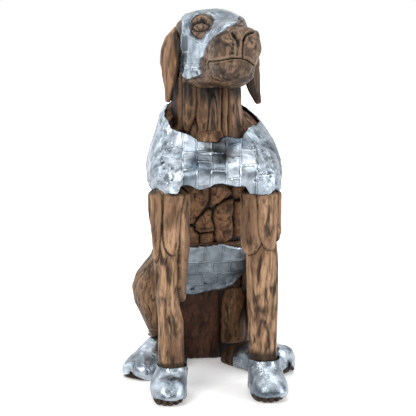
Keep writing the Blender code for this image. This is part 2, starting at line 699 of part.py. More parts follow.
def thickened(sheet, depth):
    """A closed solid from an open sheet, grown outward by `depth`."""
    sheet.normal_update()
    bm = bmesh.new()
    inner = [bm.verts.new(vert.co) for vert in sheet.verts]
    outer = [bm.verts.new(vert.co + vert.normal * depth) for vert in sheet.verts]
    sheet.verts.index_update()
    for face in sheet.faces:
        corners = [vert.index for vert in face.verts]
        bm.faces.new([outer[i] for i in corners])
        bm.faces.new([inner[i] for i in corners[::-1]])
    for edge in sheet.edges:
        if len(edge.link_faces) == 1:
            loop = edge.link_loops[0]
            first, second = loop.vert.index, loop.link_loop_next.vert.index
            bm.faces.new((outer[second], outer[first], inner[first], inner[second]))
    sheet.free()
    return bm


def build_ear(side, name, shell, neck_room):
    """A hanging ear board, cut to clear the head and the neck."""
    frame = head_frame()
    right, down, forward = EAR_ROOT
    root = frame @ (Vector((right * side, down + EAR_DROP[name], forward)) * FIGURE)
    rings = [
        (0.000, 0.0, 0.006, 0.016, 0.0070, 2.3, 0),
        (0.015, 0.0, -0.002, 0.026, 0.0090, 2.3, 0),
        (0.045, 0.0, -0.012, 0.033, 0.0095, 2.4, 0),
        (0.080, 0.0, -0.013, 0.033, 0.0095, 2.4, 0),
        (0.115, 0.0, -0.007, 0.025, 0.0085, 2.4, 0),
        (0.145, 0.0, 0.002, 0.015, 0.0075, 2.4, 0),
        (0.162, 0.0, 0.005, 0.008, 0.0060, 2.2, 0),
    ]
    facing = math.radians(EAR_FACING[name])
    outward = Vector((-math.cos(facing) * side, -math.sin(facing), 0.0))
    skin = Skin(rings, placed(root / FIGURE, (EAR_FLARE[name], -0.03, -1.0), outward))
    ear = add_object(f"ear_{name}", lofted(skin, levels_of(skin, 7), 10), WOOD)
    cut_by(ear, shell)
    cut_by(ear, neck_room)


def build_hind_leg(side, name, trunk_room):
    """Foot with its cover, and the two slabs of the haunch that rest on it."""
    splay = math.radians(41)
    along = (math.sin(splay) * side, -math.cos(splay), 0.0)
    foot_skin = Skin([
        (0.000, 0, -0.010, 0.018, 0.018, 2.3, 0),
        (0.010, 0, -0.018, 0.027, 0.032, 2.4, 0),
        (0.035, 0, -0.028, 0.032, 0.046, 2.5, 0),
        (0.065, 0, -0.032, 0.036, 0.052, 2.4, 0),
        (0.098, 0, -0.026, 0.040, 0.044, 2.4, 0),
        (0.135, 0, -0.016, 0.042, 0.032, 2.5, 0),
        (0.164, 0, -0.011, 0.038, 0.023, 2.4, 0),
        (0.178, 0, -0.007, 0.026, 0.014, 2.3, 0),
    ], placed((HEEL[name] * side, 0.182, 0.0), along, (0, 0, 1)))
    levels = np.array([0.0, 0.012, 0.034, 0.056, 0.085, 0.114, 0.143, 0.172, 0.178]) * FIGURE
    ridge_step = 22.5
    bm = lofted(foot_skin, levels, 16)
    keep_side(bm, (0, 0, 0), (0, 0, 1))
    foot = add_object(f"hind_foot_{name}", bm, DARK_WOOD)
    cut_by(foot, trunk_room)

    cover = Patch(-104, -98, 104, 98, even(0.056), even(0.172))
    body = slab_body(foot_skin, cover, SHEET_SEAT + SHEET, SHEET_SEAT, 0.0, 0.0,
                     np.arange(-4, 5) * ridge_step, np.linspace(0, 1, 5))
    add_object(f"hind_foot_cover_{name}", body, ALUMINIUM)

    haunch_skin = Skin([
        (0.0000, 0.000, 0.000, 0.098, 0.098, 2.2, 0),
        (0.0180, 0.000, 0.000, 0.100, 0.100, 2.2, 0),
        (0.0340, 0.000, 0.002, 0.086, 0.086, 2.2, 0),
        (0.0440, 0.000, 0.004, 0.060, 0.060, 2.2, 0),
        (0.0500, 0.000, 0.006, 0.026, 0.026, 2.0, 0),
    ], placed((HAUNCH_INNER[name] * side, 0.150, 0.172), (side, 0, 0), (0, 0, 1)))
    shell = swollen_copy(foot, SHEET_SEAT + SHEET + 3 * FIT, f"foot_seat_{name}")
    crease = Vector((0.35 * side, 0.90, 0.25)).normalized()
    for part_name, sign in (("rear", 1), ("front", -1)):
        bm = lofted(haunch_skin, levels_of(haunch_skin, 6), 16)
        offset = crease * (sign * GROOVE / 2 / FIGURE)
        keep_side(bm, Vector((0.125 * side, 0.135, 0.165)) + offset, crease * sign)
        haunch = add_object(f"haunch_{part_name}_{name}", bm, WOOD)
        cut_by(haunch, shell)


def build_tail():
    """A short tail on the floor behind the seat."""
    back = trunk_skin().local(180.0, TAIL_LEVEL * FIGURE)[1] / FIGURE
    start = back + SLAB_CROWN + 0.0045
    skin = Skin([
        (0.000, 0.000, 0.000, 0.020, 0.020, 2.2, 0),
        (0.030, 0.003, 0.002, 0.018, 0.018, 2.2, 0),
        (0.065, 0.010, 0.006, 0.015, 0.014, 2.2, 0),
        (0.100, 0.022, 0.010, 0.011, 0.010, 2.2, 0),
        (0.125, 0.034, 0.013, 0.006, 0.006, 2.2, 0),
    ], placed((0.004, start, TAIL_LEVEL), (0.20, 1.0, 0.0), (0, 0, 1)))
    add_object("tail", lofted(skin, levels_of(skin, 5), 10), DARK_WOOD)


def build_plug(name, skin, low, high):
    """A cutter: the room that a form with its slabs takes up inside its neighbours."""
    room = (SLAB_CROWN + 0.0008) * FIGURE
    return as_cutter(add_object(name, lofted(skin, levels_of(skin, 5, low, high), 24, room), FILLER))


def stand_in_the_middle():
    """Moves everything so that the figure stands on z = 0, centred over the origin."""
    shown = [piece for piece in bpy.data.objects if not piece.hide_render]
    points = np.array([vert.co for piece in shown for vert in piece.data.vertices])
    low, high = points.min(axis=0), points.max(axis=0)
    move = Matrix.Translation((-(low[0] + high[0]) / 2, -(low[1] + high[1]) / 2, -low[2]))
    for piece in bpy.data.objects:
        piece.data.transform(move)


def clear_scene():
    """Removes whatever the scene holds."""
    for piece in list(bpy.data.objects):
        bpy.data.objects.remove(piece)


clear_scene()
build_trunk()
build_shoulders()
build_neck()
trunk_room = build_plug("trunk_room", trunk_skin(), 0.0, 0.170)
for side_sign, side_name in ((-1, "right"), (1, "left")):
    build_foreleg(side_sign, side_name)
    build_front_paw(side_sign, side_name)
    build_hind_leg(side_sign, side_name, trunk_room)
build_head(build_plug("neck_room", neck_skin(), 0.600, 0.691))
build_tail()
stand_in_the_middle()
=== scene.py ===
"""Looks of a sitting hound of root wood and hammered sheet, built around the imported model."""

import json
import logging
import math
from dataclasses import dataclass, field, replace
from enum import Enum

import bmesh
import bpy
import numpy as np
from mathutils import Matrix, Vector

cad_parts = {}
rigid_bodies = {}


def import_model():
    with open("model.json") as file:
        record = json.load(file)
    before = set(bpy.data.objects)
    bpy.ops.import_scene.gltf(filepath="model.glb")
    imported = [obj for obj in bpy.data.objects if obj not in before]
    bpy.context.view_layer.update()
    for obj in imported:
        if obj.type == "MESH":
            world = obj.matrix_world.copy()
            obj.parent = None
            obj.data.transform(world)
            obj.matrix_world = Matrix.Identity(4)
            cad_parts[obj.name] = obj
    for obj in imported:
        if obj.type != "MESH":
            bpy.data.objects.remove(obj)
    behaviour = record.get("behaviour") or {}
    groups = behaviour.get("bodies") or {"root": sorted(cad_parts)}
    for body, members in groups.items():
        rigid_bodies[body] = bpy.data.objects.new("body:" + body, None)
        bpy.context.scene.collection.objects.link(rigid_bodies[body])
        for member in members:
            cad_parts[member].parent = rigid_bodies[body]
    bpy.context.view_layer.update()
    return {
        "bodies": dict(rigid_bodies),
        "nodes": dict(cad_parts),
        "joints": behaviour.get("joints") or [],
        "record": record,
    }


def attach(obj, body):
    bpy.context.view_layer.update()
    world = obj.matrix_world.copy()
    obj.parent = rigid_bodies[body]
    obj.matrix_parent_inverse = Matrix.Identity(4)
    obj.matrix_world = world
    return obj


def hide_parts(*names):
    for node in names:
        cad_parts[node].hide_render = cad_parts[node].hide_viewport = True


Array = np.ndarray
Pair = tuple[float, float]
Triple = tuple[float, float, float]
Colour = Triple
LOG = logging.getLogger("hound")

BODY = "root"
ORIGIN = Vector((-0.0005, -0.1377, 0.0))  # where the drawing's own origin stands in the row frame
FILLERS = ("body_filler", "neck_filler")  # the CAD nodes that stay in view


# Noise and smooth steps

class Noise:
    """Smooth value noise on a hashed lattice, the same in every run."""

    REACH = 1.4  # brings the sum of several octaves back to about 1

    @staticmethod
    def _lattice(cells: Array, seed: int) -> Array:
        """Random values from -1 to 1 at whole-number cells.

        Args:
            cells: Three whole numbers for each cell.
            seed: Which noise.

        Returns:
            One value for each cell.
        """
        mixed = cells[..., 0] * 0x1F1F1F1F ^ cells[..., 1] * 0x5BD1E995 ^ cells[..., 2] * 0x27D4EB2D
        mixed = (mixed ^ (seed * 0x165667B1)) & 0xFFFFFFFF
        mixed = ((mixed ^ (mixed >> 15)) * 0x2C1B3C6D) & 0xFFFFFFFF
        mixed = ((mixed ^ (mixed >> 12)) * 0x297A2D39) & 0xFFFFFFFF
        return (mixed ^ (mixed >> 15)) / 0xFFFFFFFF * 2.0 - 1.0

    @classmethod
    def at(cls, points: Array, size: float | Triple, seed: int) -> Array:
        """Noise from -1 to 1.

        Args:
            points: Places, in metres.
            size: Width of a lump, in metres, or one width for each axis.
            seed: Which noise.

        Returns:
            One value for each point.
        """
        scaled = points / np.asarray(size, float)
        cells = np.floor(scaled).astype(np.int64)
        part = scaled - cells
        part = part * part * (3 - 2 * part)
        total = np.zeros(scaled.shape[:-1])
        for corner in range(8):
            step = np.array([corner & 1, corner >> 1 & 1, corner >> 2])
            weight = np.prod(np.where(step, part, 1 - part), axis=-1)
            total += weight * cls._lattice(cells + step, seed)
        return total

    @classmethod
    def cloud(cls, points: Array, size: float | Triple, seed: int, octaves: int = 3) -> Array:
        """Noise with finer and finer lumps added.

        Args:
            points: Places, in metres.
            size: Width of the largest lumps.
            seed: Which noise.
            octaves: How many times the lumps are halved.

        Returns:
            One value for each point, from about -1 to 1.
        """
        size = np.asarray(size, float)
        return sum(cls.at(points, size / 2**k, seed + 17 * k) * 0.5**k for k in range(octaves)) / cls.REACH

    @classmethod
    def pick(cls, numbers: Array, seed: int) -> Array:
        """One fixed random value from -1 to 1 for each whole number."""
        numbers = np.asarray(numbers).astype(np.int64)
        return cls._lattice(np.stack([numbers, numbers * 0 + 7, numbers * 0 + 3], axis=-1), seed)


def ease(value: Array, start: float | Array, end: float | Array) -> Array:
    """0 before start, 1 past end, smooth between."""
    part = np.clip((value - start) / (end - start), 0, 1)
    return part * part * (3 - 2 * part)


def bump(distance: Array, reach: float | Array) -> Array:
    """1 at the middle, 0 from `reach` on, smooth between."""
    return 0.5 + 0.5 * np.cos(np.pi * np.clip(np.abs(distance) / reach, 0, 1))


def unit(vectors: Array) -> Array:
    """Vectors at length 1."""
    return vectors / np.maximum(np.linalg.norm(vectors, axis=-1, keepdims=True), 1e-12)


def line_distance(points: Array, corners: Array, closed: bool = False) -> Array:
    """Distances of places in a plane to a line through corners.

    Args:
        points: Places, two numbers each.
        corners: The line's corners in order.
        closed: True if the last corner joins the first.

    Returns:
        The distances.
    """
    line = np.array(corners, float)
    ends = np.roll(line, -1, axis=0) if closed else line[1:]
    nearest = np.full(points.shape[:-1], np.inf)
    for start, end in zip(line, ends):
        edge, offset = end - start, points - start
        share = np.clip(offset @ edge / (edge @ edge), 0, 1)
        nearest = np.minimum(nearest, np.linalg.norm(offset - share[..., None] * edge, axis=-1))
    return nearest


def polygon_depth(points: Array, corners: Array) -> Array:
    """How deep places in a plane lie inside an outline.

    Args:
        points: Places, two numbers each.
        corners: The outline's corners in order.

    Returns:
        Distances to the outline, above 0 inside.
    """
    ring = np.array(corners, float)
    inside = np.zeros(points.shape[:-1], bool)
    for start, end in zip(ring, np.roll(ring, -1, axis=0)):
        edge, offset = end - start, points - start
        crosses = (start[1] > points[..., 1]) != (end[1] > points[..., 1])
        rise = edge[1] if edge[1] else 1e-12
        inside ^= crosses & (offset[..., 0] < edge[0] * offset[..., 1] / rise)
    nearest = line_distance(points, ring, True)
    return np.where(inside, nearest, -nearest)


def placed(origin: Vector, along: Vector, top: Vector) -> Matrix:
    """A frame whose +Z runs along a line and whose -Y faces a side.

    Args:
        origin: Its zero point, in metres.
        along: The way that +Z runs.
        top: The side that turn 0 faces.

    Returns:
        The frame as a matrix.
    """
    axis = along.normalized()
    front = (top - axis * top.dot(axis)).normalized()
    frame = Matrix(((-front).cross(axis), -front, axis)).transposed().to_4x4()
    frame.translation = origin
    return frame


def between(low: float | Array, high: float | Array, rows: int) -> Array:
    """Rows of levels from a low edge to a high one."""
    return low + (high - low) * np.linspace(0, 1, rows)[:, None]


@dataclass(frozen=True)
class Sight:
    """The photograph's standpoint. Places in the picture are squares of the drawing, across and down."""

    azimuth: float = -6.0
    distance: float = 2.5
    height: float = 0.741
    aim: float = 0.385
    focal: float = 1185.0
    width: int = 416
    shift: float = 3.0

    @property
    def place(self) -> Vector:
        """Where the eye stands."""
        turn = math.radians(self.azimuth)
        return ORIGIN + Vector((math.sin(turn) * self.distance, -math.cos(turn) * self.distance, self.height))

    @property
    def turned(self) -> Matrix:
        """The eye's right, up and back as the columns of a matrix."""
        toward = ORIGIN + Vector((0, 0, self.aim)) - self.place
        return toward.to_track_quat("-Z", "Y").to_matrix()

    def seen(self, points: Array) -> tuple[Array, Array]:
        """Where points are seen, in squares, and how many metres a square is there.

        Args:
            points: Places in the row frame.

        Returns:
            Squares across and down, and metres to a square.
        """
        right, up, back = ((points - np.array(self.place)) @ np.array(self.turned)).T
        scale = -back / self.focal
        middle = self.width / 2
        return np.stack([middle + self.shift + right / scale, middle - up / scale], axis=-1), scale

    def facing(self, points: Array, normals: Array) -> Array:
        """1 where a surface faces the eye, 0 where it is seen edge on."""
        return np.einsum("ij,ij->i", unit(np.array(self.place) - points), normals)


SIGHT = Sight()


@dataclass
class Skin:
    """A closed form drawn as rings: level, across, middle, half width, half depth, squareness, tilt."""

    rings: list[tuple[float, ...]]
    place: Matrix = field(default_factory=lambda: Matrix.Translation(ORIGIN))
    flat: bool = False  # True if outward directions ignore how the rings change upward

    TURN_STEP = 0.7  # degrees between the samples of a direction
    LEVEL_STEP = 0.0012  # metres between them
    ROWS, SAMPLES = 40, 400  # rows and samples in each row for lengths round the form

    def __post_init__(self) -> None:
        """Keeps the rings and the place as arrays."""
        self.table = np.array(self.rings, float)
        self.low, self.high = self.table[0, 0], self.table[-1, 0]
        self.matrix = np.array(self.place)

    def values(self, levels: Array) -> Array:
        """Ring values, eased between the drawn rings.

        Args:
            levels: Levels in metres.

        Returns:
            Across, middle, half width, half depth, squareness and tilt at each level.
        """
        levels = np.clip(levels, self.low, self.high)
        index = np.clip(np.searchsorted(self.table[:, 0], levels, side="right") - 1, 0, len(self.table) - 2)
        start, end = self.table[index, 0], self.table[index + 1, 0]
        slopes = np.gradient(self.table[:, 1:], self.table[:, 0], axis=0)
        width = (end - start)[..., None]
        t = ((levels - start) / (end - start))[..., None]
        first, second = self.table[index, 1:], self.table[index + 1, 1:]
        curve = (2 * t**3 - 3 * t**2 + 1) * first + (t**3 - 2 * t**2 + t) * width * slopes[index]
        return curve + (3 * t**2 - 2 * t**3) * second + (t**3 - t**2) * width * slopes[index + 1]

    def local(self, turns: Array, levels: Array) -> Array:
        """Points of the skin in its own frame.

        Args:
            turns: Turns in degrees, with 0 in front.
            levels: Levels in metres.

        Returns:
            The points.
        """
        turns, levels = np.broadcast_arrays(np.radians(turns), np.asarray(levels, float))
        across, middle, half_width, half_depth, square, tilt = np.moveaxis(self.values(levels), -1, 0)
        sine, cosine, tilt = np.sin(turns), np.cos(turns), np.radians(tilt)
        side = half_width * np.sign(sine) * np.abs(sine) ** (2 / square)
        front = half_depth * np.sign(cosine) * np.abs(cosine) ** (2 / square)
        ahead, rise = front * np.cos(tilt), front * np.sin(tilt)
        return np.stack([across + side, middle - ahead, levels - rise], axis=-1)

    def normals(self, turns: Array, levels: Array) -> Array:
        """Outward directions of the skin in its own frame.

        Args:
            turns: Turns in degrees.
            levels: Levels in metres.

        Returns:
            The directions, one metre long.
        """
        round_ = self.local(turns + self.TURN_STEP, levels) - self.local(turns - self.TURN_STEP, levels)
        if self.flat:
            tilt = np.radians(self.values(levels)[..., 5])
            return unit(np.cross(round_, np.stack([0 * tilt, -np.sin(tilt), np.cos(tilt)], axis=-1)))
        step = self.LEVEL_STEP
        middle = np.clip(levels, self.low + step, self.high - step)
        return unit(np.cross(round_, self.local(turns, middle + step) - self.local(turns, middle - step)))

    def at(self, turns: Array, levels: Array, out: float | Array = 0.0) -> Array:
        """Points on the skin or outside it, in the row frame.

        Args:
            turns: Turns in degrees.
            levels: Levels in metres.
            out: How far outside the skin they lie, in metres.

        Returns:
            The points.
        """
        turns, levels = np.broadcast_arrays(np.asarray(turns, float), np.asarray(levels, float))
        lift = np.broadcast_to(np.asarray(out, float), turns.shape)[..., None]
        return self.outside(self.local(turns, levels) + self.normals(turns, levels) * lift)

    def girths(self, levels: Array) -> tuple[Array, Array, Array, Array]:
        """Lengths round the form, for finding places along it.

        Args:
            levels: Levels in metres.

        Returns:
            Sample turns, their lengths from the front in rows, each level's row and its share of the next.
        """
        turns = np.concatenate([[0.0], np.geomspace(0.01, 180.0, self.SAMPLES)])
        heights = np.linspace(levels.min(), levels.max() + 1e-6, self.ROWS)
        line = self.local(turns[None, :], heights[:, None])
        steps = np.linalg.norm(np.diff(line, axis=1), axis=2)
        length = np.concatenate([np.zeros((self.ROWS, 1)), np.cumsum(steps, axis=1)], axis=1)
        place = (levels - heights[0]) / (heights[-1] - heights[0]) * (self.ROWS - 1)
        row = np.clip(np.floor(place).astype(int), 0, self.ROWS - 2)
        return turns, length, row, place - row

    def shared(self, shares: Array, levels: Array) -> tuple[Array, Array]:
        """Places that are a share of half the girth away from the front.

        Args:
            shares: From -1 to 1, with 0 in front and 1 behind.
            levels: Levels in metres.

        Returns:
            Turns in degrees, and distances round the form from its front, in metres.
        """
        shares, levels = np.broadcast_arrays(shares, levels)
        _, length, row, part = self.girths(levels)
        girth = length[row, -1] * (1 - part) + length[row + 1, -1] * part
        return self.wrapped(shares * girth, levels), shares * girth

    def wrapped(self, arcs: Array, levels: Array) -> Array:
        """Turns of places at distances round the form from its front.

        Args:
            arcs: Distances in metres, toward the dog's left above 0.
            levels: Levels in metres.

        Returns:
            Turns in degrees.
        """
        arcs, levels = np.broadcast_arrays(arcs, levels)
        turns, length, row, part = self.girths(levels)
        near = np.array([np.interp(np.abs(arcs), line, turns) for line in length])
        rows = np.indices(arcs.shape)
        return np.sign(arcs) * (near[(row, *rows)] * (1 - part) + near[(row + 1, *rows)] * part)

    def outside(self, points: Array) -> Array:
        """Points of the skin's own frame, in the row frame."""
        return points @ self.matrix[:3, :3].T + self.matrix[:3, 3]

    def inside(self, points: Array) -> Array:
        """Points of the row frame, in the skin's own frame."""
        return (points - self.matrix[:3, 3]) @ self.matrix[:3, :3]


# Mesh work

def linked(name: str, data: bpy.types.ID) -> bpy.types.Object:
    """A new object in the scene.

    Args:
        name: Its name.
        data: Its mesh, light or camera.

    Returns:
        The object.
    """
    obj = bpy.data.objects.new(name, data)
    bpy.context.scene.collection.objects.link(obj)
    return obj


class Workpiece:
    """A mesh object on the bench, with its points and marks as arrays."""

    KEPT, PULLED = 0.4, 0.6  # shares of a vertex's own place and of its neighbours' middle in smoothing

    def __init__(self, obj: bpy.types.Object) -> None:
        """Takes an object that sits at the origin."""
        self.obj = obj

    @classmethod
    def from_faces(cls, name: str, points: Array, faces: list | Array) -> "Workpiece":
        """A new piece from points and faces.

        Args:
            name: Its name.
            points: Places of the vertices.
            faces: Vertex numbers of each face.

        Returns:
            The piece.
        """
        mesh = bpy.data.meshes.new(name)
        mesh.from_pydata(np.asarray(points).tolist(), [], np.asarray(faces).tolist())
        mesh.validate()
        return cls(linked(name, mesh))

    @classmethod
    def from_grid(cls, name: str, grid: Array, wrap: bool) -> "Workpiece":
        """A sheet of four-sided faces.

        Args:
            name: Its name.
            grid: Points in rows and columns.
            wrap: True if each row closes on itself.

        Returns:
            The piece.
        """
        rows, columns = grid.shape[:2]
        index = np.arange(rows * columns).reshape(rows, columns)
        right = np.roll(index, -1, axis=1)
        if not wrap:
            index, right = index[:, :-1], right[:, :-1]
        faces = np.stack([index[:-1], right[:-1], right[1:], index[1:]], axis=-1).reshape(-1, 4)
        return cls.from_faces(name, grid.reshape(-1, 3), faces)

    @classmethod
    def from_node(cls, node: str, name: str, rounding: int, voxel: float) -> "Workpiece":
        """A rounded, evenly meshed copy of a CAD node.

        Args:
            node: The node's name.
            name: The new piece's name.
            rounding: Rounds of smoothing that take off its facets.
            voxel: Width of the new faces, in metres.

        Returns:
            The piece.
        """
        bm = bmesh.new()
        bm.from_mesh(bpy.data.objects[node].data)
        bmesh.ops.remove_doubles(bm, verts=bm.verts, dist=1e-5)
        mesh = bpy.data.meshes.new(name)
        bm.to_mesh(mesh)
        bm.free()
        piece = cls(linked(name, mesh))
        piece.remesh(voxel)
        piece.move(piece.softened(rounding))
        return piece

    def settle(self) -> None:
        """Makes the modifiers part of the mesh."""
        graph = bpy.context.evaluated_depsgraph_get()
        mesh = bpy.data.meshes.new_from_object(self.obj.evaluated_get(graph))
        self.obj.modifiers.clear()
        self.obj.data = mesh

    def remesh(self, voxel: float) -> None:
        """Gives the piece even faces.

        Args:
            voxel: Their width, in metres.
        """
        even = self.obj.modifiers.new("even faces", "REMESH")
        even.mode, even.voxel_size = "VOXEL", voxel
        self.settle()

    @property
    def mesh(self) -> bpy.types.Mesh:
        """The piece's mesh."""
        return self.obj.data

    @property
    def points(self) -> Array:
        """Places of the vertices."""
        values = np.empty(len(self.mesh.vertices) * 3, np.float32)
        self.mesh.vertices.foreach_get("co", values)
        return values.reshape(-1, 3).astype(float)

    def move(self, points: Array) -> None:
        """Puts the vertices at new places."""
        self.mesh.vertices.foreach_set("co", np.asarray(points, np.float32).ravel())
        self.mesh.update()

    @property
    def normals(self) -> Array:
        """Outward directions at the vertices."""
        values = np.empty(len(self.mesh.vertices) * 3, np.float32)
        self.mesh.vertex_normals.foreach_get("vector", values)
        return values.reshape(-1, 3).astype(float)

    @property
    def edges(self) -> Array:
        """Vertex numbers of the edges, in pairs."""
        values = np.empty(len(self.mesh.edges) * 2, np.int32)
        self.mesh.edges.foreach_get("vertices", values)
        return values.reshape(-1, 2)

    def swell(self, distance: Array) -> None:
        """Moves each vertex along its normal."""
        self.move(self.points + self.normals * distance[:, None])

    def mark(self, name: str, values: Array) -> None:
        """Stores one number for each vertex, for the finish to read."""
        layer = self.mesh.attributes.get(name) or self.mesh.attributes.new(name, "FLOAT", "POINT")
        layer.data.foreach_set("value", np.asarray(values, np.float32).ravel())

    def marked(self, name: str) -> Array:
        """The numbers stored under a name.

        Args:
            name: The name.

        Returns:
            One number for each vertex.
        """
        values = np.empty(len(self.mesh.vertices), np.float32)
        self.mesh.attributes[name].data.foreach_get("value", values)
        return values.astype(float)

    def softened(self, rounds: int) -> Array:
        """Places of the vertices after smoothing; the piece itself stays.

        Args:
            rounds: How often it is smoothed.

        Returns:
            The places.
        """
        edges, count = self.edges, len(self.mesh.vertices)
        first, second = edges[:, 0], edges[:, 1]
        links = np.maximum(np.bincount(edges.ravel(), minlength=count), 1)[:, None]
        points = self.points
        for _ in range(rounds):
            total = np.stack(
                [np.bincount(first, points[second, k], count) + np.bincount(second, points[first, k], count)
                 for k in range(3)], axis=-1)
            points = self.KEPT * points + self.PULLED * total / links
        return points

    def crest(self, rounds: int) -> Array:
        """How far each vertex stands proud of its surroundings, in metres; hollows are below 0."""
        return np.einsum("ij,ij->i", self.points - self.softened(rounds), self.normals)

    def trim(self, keep: Array) -> None:
        """Deletes faces.

        Args:
            keep: True for each vertex whose faces stay.
        """
        bm = bmesh.new()
        bm.from_mesh(self.mesh)
        bm.verts.ensure_lookup_table()
        spare = [face for face in bm.faces if not any(keep[vertex.index] for vertex in face.verts)]
        bmesh.ops.delete(bm, geom=spare, context="FACES")
        bm.to_mesh(self.mesh)
        bm.free()

    def thicken(self, depth: float) -> None:
        """Gives a sheet its thickness, inwards, with closed rims.

        Args:
            depth: The thickness, in metres.
        """
        wall = self.obj.modifiers.new("thickness", "SOLIDIFY")
        wall.thickness, wall.offset, wall.use_rim = depth, -1.0, True
        self.settle()

    def finish(self, material: bpy.types.Material, slot: str, *nodes: str) -> None:
        """Dresses the piece and hands it over.

        Args:
            material: Its finish.
            slot: The record's material slot; not used.
            *nodes: CAD nodes that it stands for.
        """
        points = self.points
        points[:, 2] = np.maximum(points[:, 2], 0.0)  # nothing sinks into the floor
        self.move(points)
        self.mesh.materials.clear()
        self.mesh.materials.append(material)
        self.mesh.shade_smooth()
        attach(self.obj, BODY)
        if nodes:
            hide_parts(*nodes)
        LOG.info("%s: %d faces", self.obj.name, len(self.mesh.polygons))


# Finishes

def preset(node: bpy.types.Node, values: dict[str, float]) -> None:
    """Sets inputs of a node by their names."""
    for name, value in values.items():
        node.inputs[name].default_value = value


class Sketch:
    """A material's node tree while it is drawn."""

    def __init__(self, name: str) -> None:
        """Starts a material with its one shader.

        Args:
            name: The material's name.
        """
        self.material = bpy.data.materials.new(name)
        self.material.use_nodes = True
        self.tree = self.material.node_tree
        self.shader = self.tree.nodes["Principled BSDF"]
        self.coordinates = self.tree.nodes.new("ShaderNodeTexCoord").outputs["Object"]

    def _feed(self, socket: bpy.types.NodeSocket, value: object) -> None:
        """Links or sets one input.

        Args:
            socket: The input.
            value: An output to link, or a plain value.
        """
        if isinstance(value, bpy.types.NodeSocket):
            self.tree.links.new(value, socket)
        else:
            socket.default_value = value

    def stretched(self, scale: Triple, turn: Triple = (0, 0, 0)) -> object:
        """Object coordinates, turned and then stretched.

        Args:
            scale: Factor along each axis.
            turn: Turn about each axis, in radians.

        Returns:
            The coordinates' output.
        """
        node = self.tree.nodes.new("ShaderNodeMapping")
        self._feed(node.inputs["Vector"], self.coordinates)
        node.inputs["Scale"].default_value = scale
        node.inputs["Rotation"].default_value = turn
        return node.outputs["Vector"]

    def noise(self, vector: object, scale: float, detail: float = 3.0, rough: float = 0.55,
              twist: float = 0.0) -> object:
        """A noise value.

        Args:
            vector: Where it is read.
            scale: Lumps to a metre.
            detail: How many finer layers it has.
            rough: How strong they are.
            twist: How far the lumps are bent.

        Returns:
            The noise's output.
        """
        node = self.tree.nodes.new("ShaderNodeTexNoise")
        self._feed(node.inputs["Vector"], vector)
        preset(node, {"Scale": scale, "Detail": detail, "Roughness": rough, "Distortion": twist})
        return node.outputs["Fac"]

    def span(self, value: object, start: float, end: float, low: float = 0.0, high: float = 1.0) -> object:
        """A value brought to another range, eased and clamped.

        Args:
            value: The value.
            start: What becomes `low`.
            end: What becomes `high`.
            low: Result at the start and before it.
            high: Result at the end and past it.

        Returns:
            The result's output.
        """
        node = self.tree.nodes.new("ShaderNodeMapRange")
        node.interpolation_type = "SMOOTHSTEP"
        self._feed(node.inputs["Value"], value)
        preset(node, {"From Min": start, "From Max": end, "To Min": low, "To Max": high})
        return node.outputs["Result"]

    def sum(self, operation: str, first: object, second: object) -> object:
        """One arithmetic step.

        Args:
            operation: Its name in the math node.
            first: The first value.
            second: The second value.

        Returns:
            The result's output.
        """
        node = self.tree.nodes.new("ShaderNodeMath")
        node.operation = operation
        self._feed(node.inputs[0], first)
        self._feed(node.inputs[1], second)
        return node.outputs["Value"]

    def blend(self, share: object, first: object, second: object, mode: str = "MIX") -> object:
        """Two colours mixed.

        Args:
            share: How much of the second there is.
            first: The first colour.
            second: The second colour.
            mode: How they mix.

        Returns:
            The colour's output.
        """
        node = self.tree.nodes.new("ShaderNodeMix")
        node.data_type, node.blend_type = "RGBA", mode
        # inputs 6 and 7 and output 2 are the ones for colours
        for socket, value in ((node.inputs[0], share), (node.inputs[6], first), (node.inputs[7], second)):
            self._feed(socket, (*value, 1.0) if isinstance(value, tuple) else value)
        return node.outputs[2]

    def mark(self, name: str) -> object:
        """A number stored on the mesh.

        Args:
            name: The name it was stored under.

        Returns:
            The number's output.
        """
        node = self.tree.nodes.new("ShaderNodeAttribute")
        node.attribute_name = name
        return node.outputs["Fac"]

    def relief(self, height: object, strength: object, distance: float, over: object = None) -> object:
        """A bumped normal.

        Args:
            height: The relief.
            strength: How strongly it shows.
            distance: Its depth, in metres.
            over: A bumped normal that it lies on.

        Returns:
            The normal's output.
        """
        node = self.tree.nodes.new("ShaderNodeBump")
        self._feed(node.inputs["Strength"], strength)
        node.inputs["Distance"].default_value = distance
        self._feed(node.inputs["Height"], height)
        if over is not None:
            self._feed(node.inputs["Normal"], over)
        return node.outputs["Normal"]

    def done(self, colour: object, rough: object, normal: object) -> bpy.types.Material:
        """Wires the shader.

        Args:
            colour: Base colour.
            rough: Roughness.
            normal: Bumped normal.

        Returns:
            The material.
        """
        self._feed(self.shader.inputs["Base Color"], colour)
        self._feed(self.shader.inputs["Roughness"], rough)
        self._feed(self.shader.inputs["Normal"], normal)
        return self.material


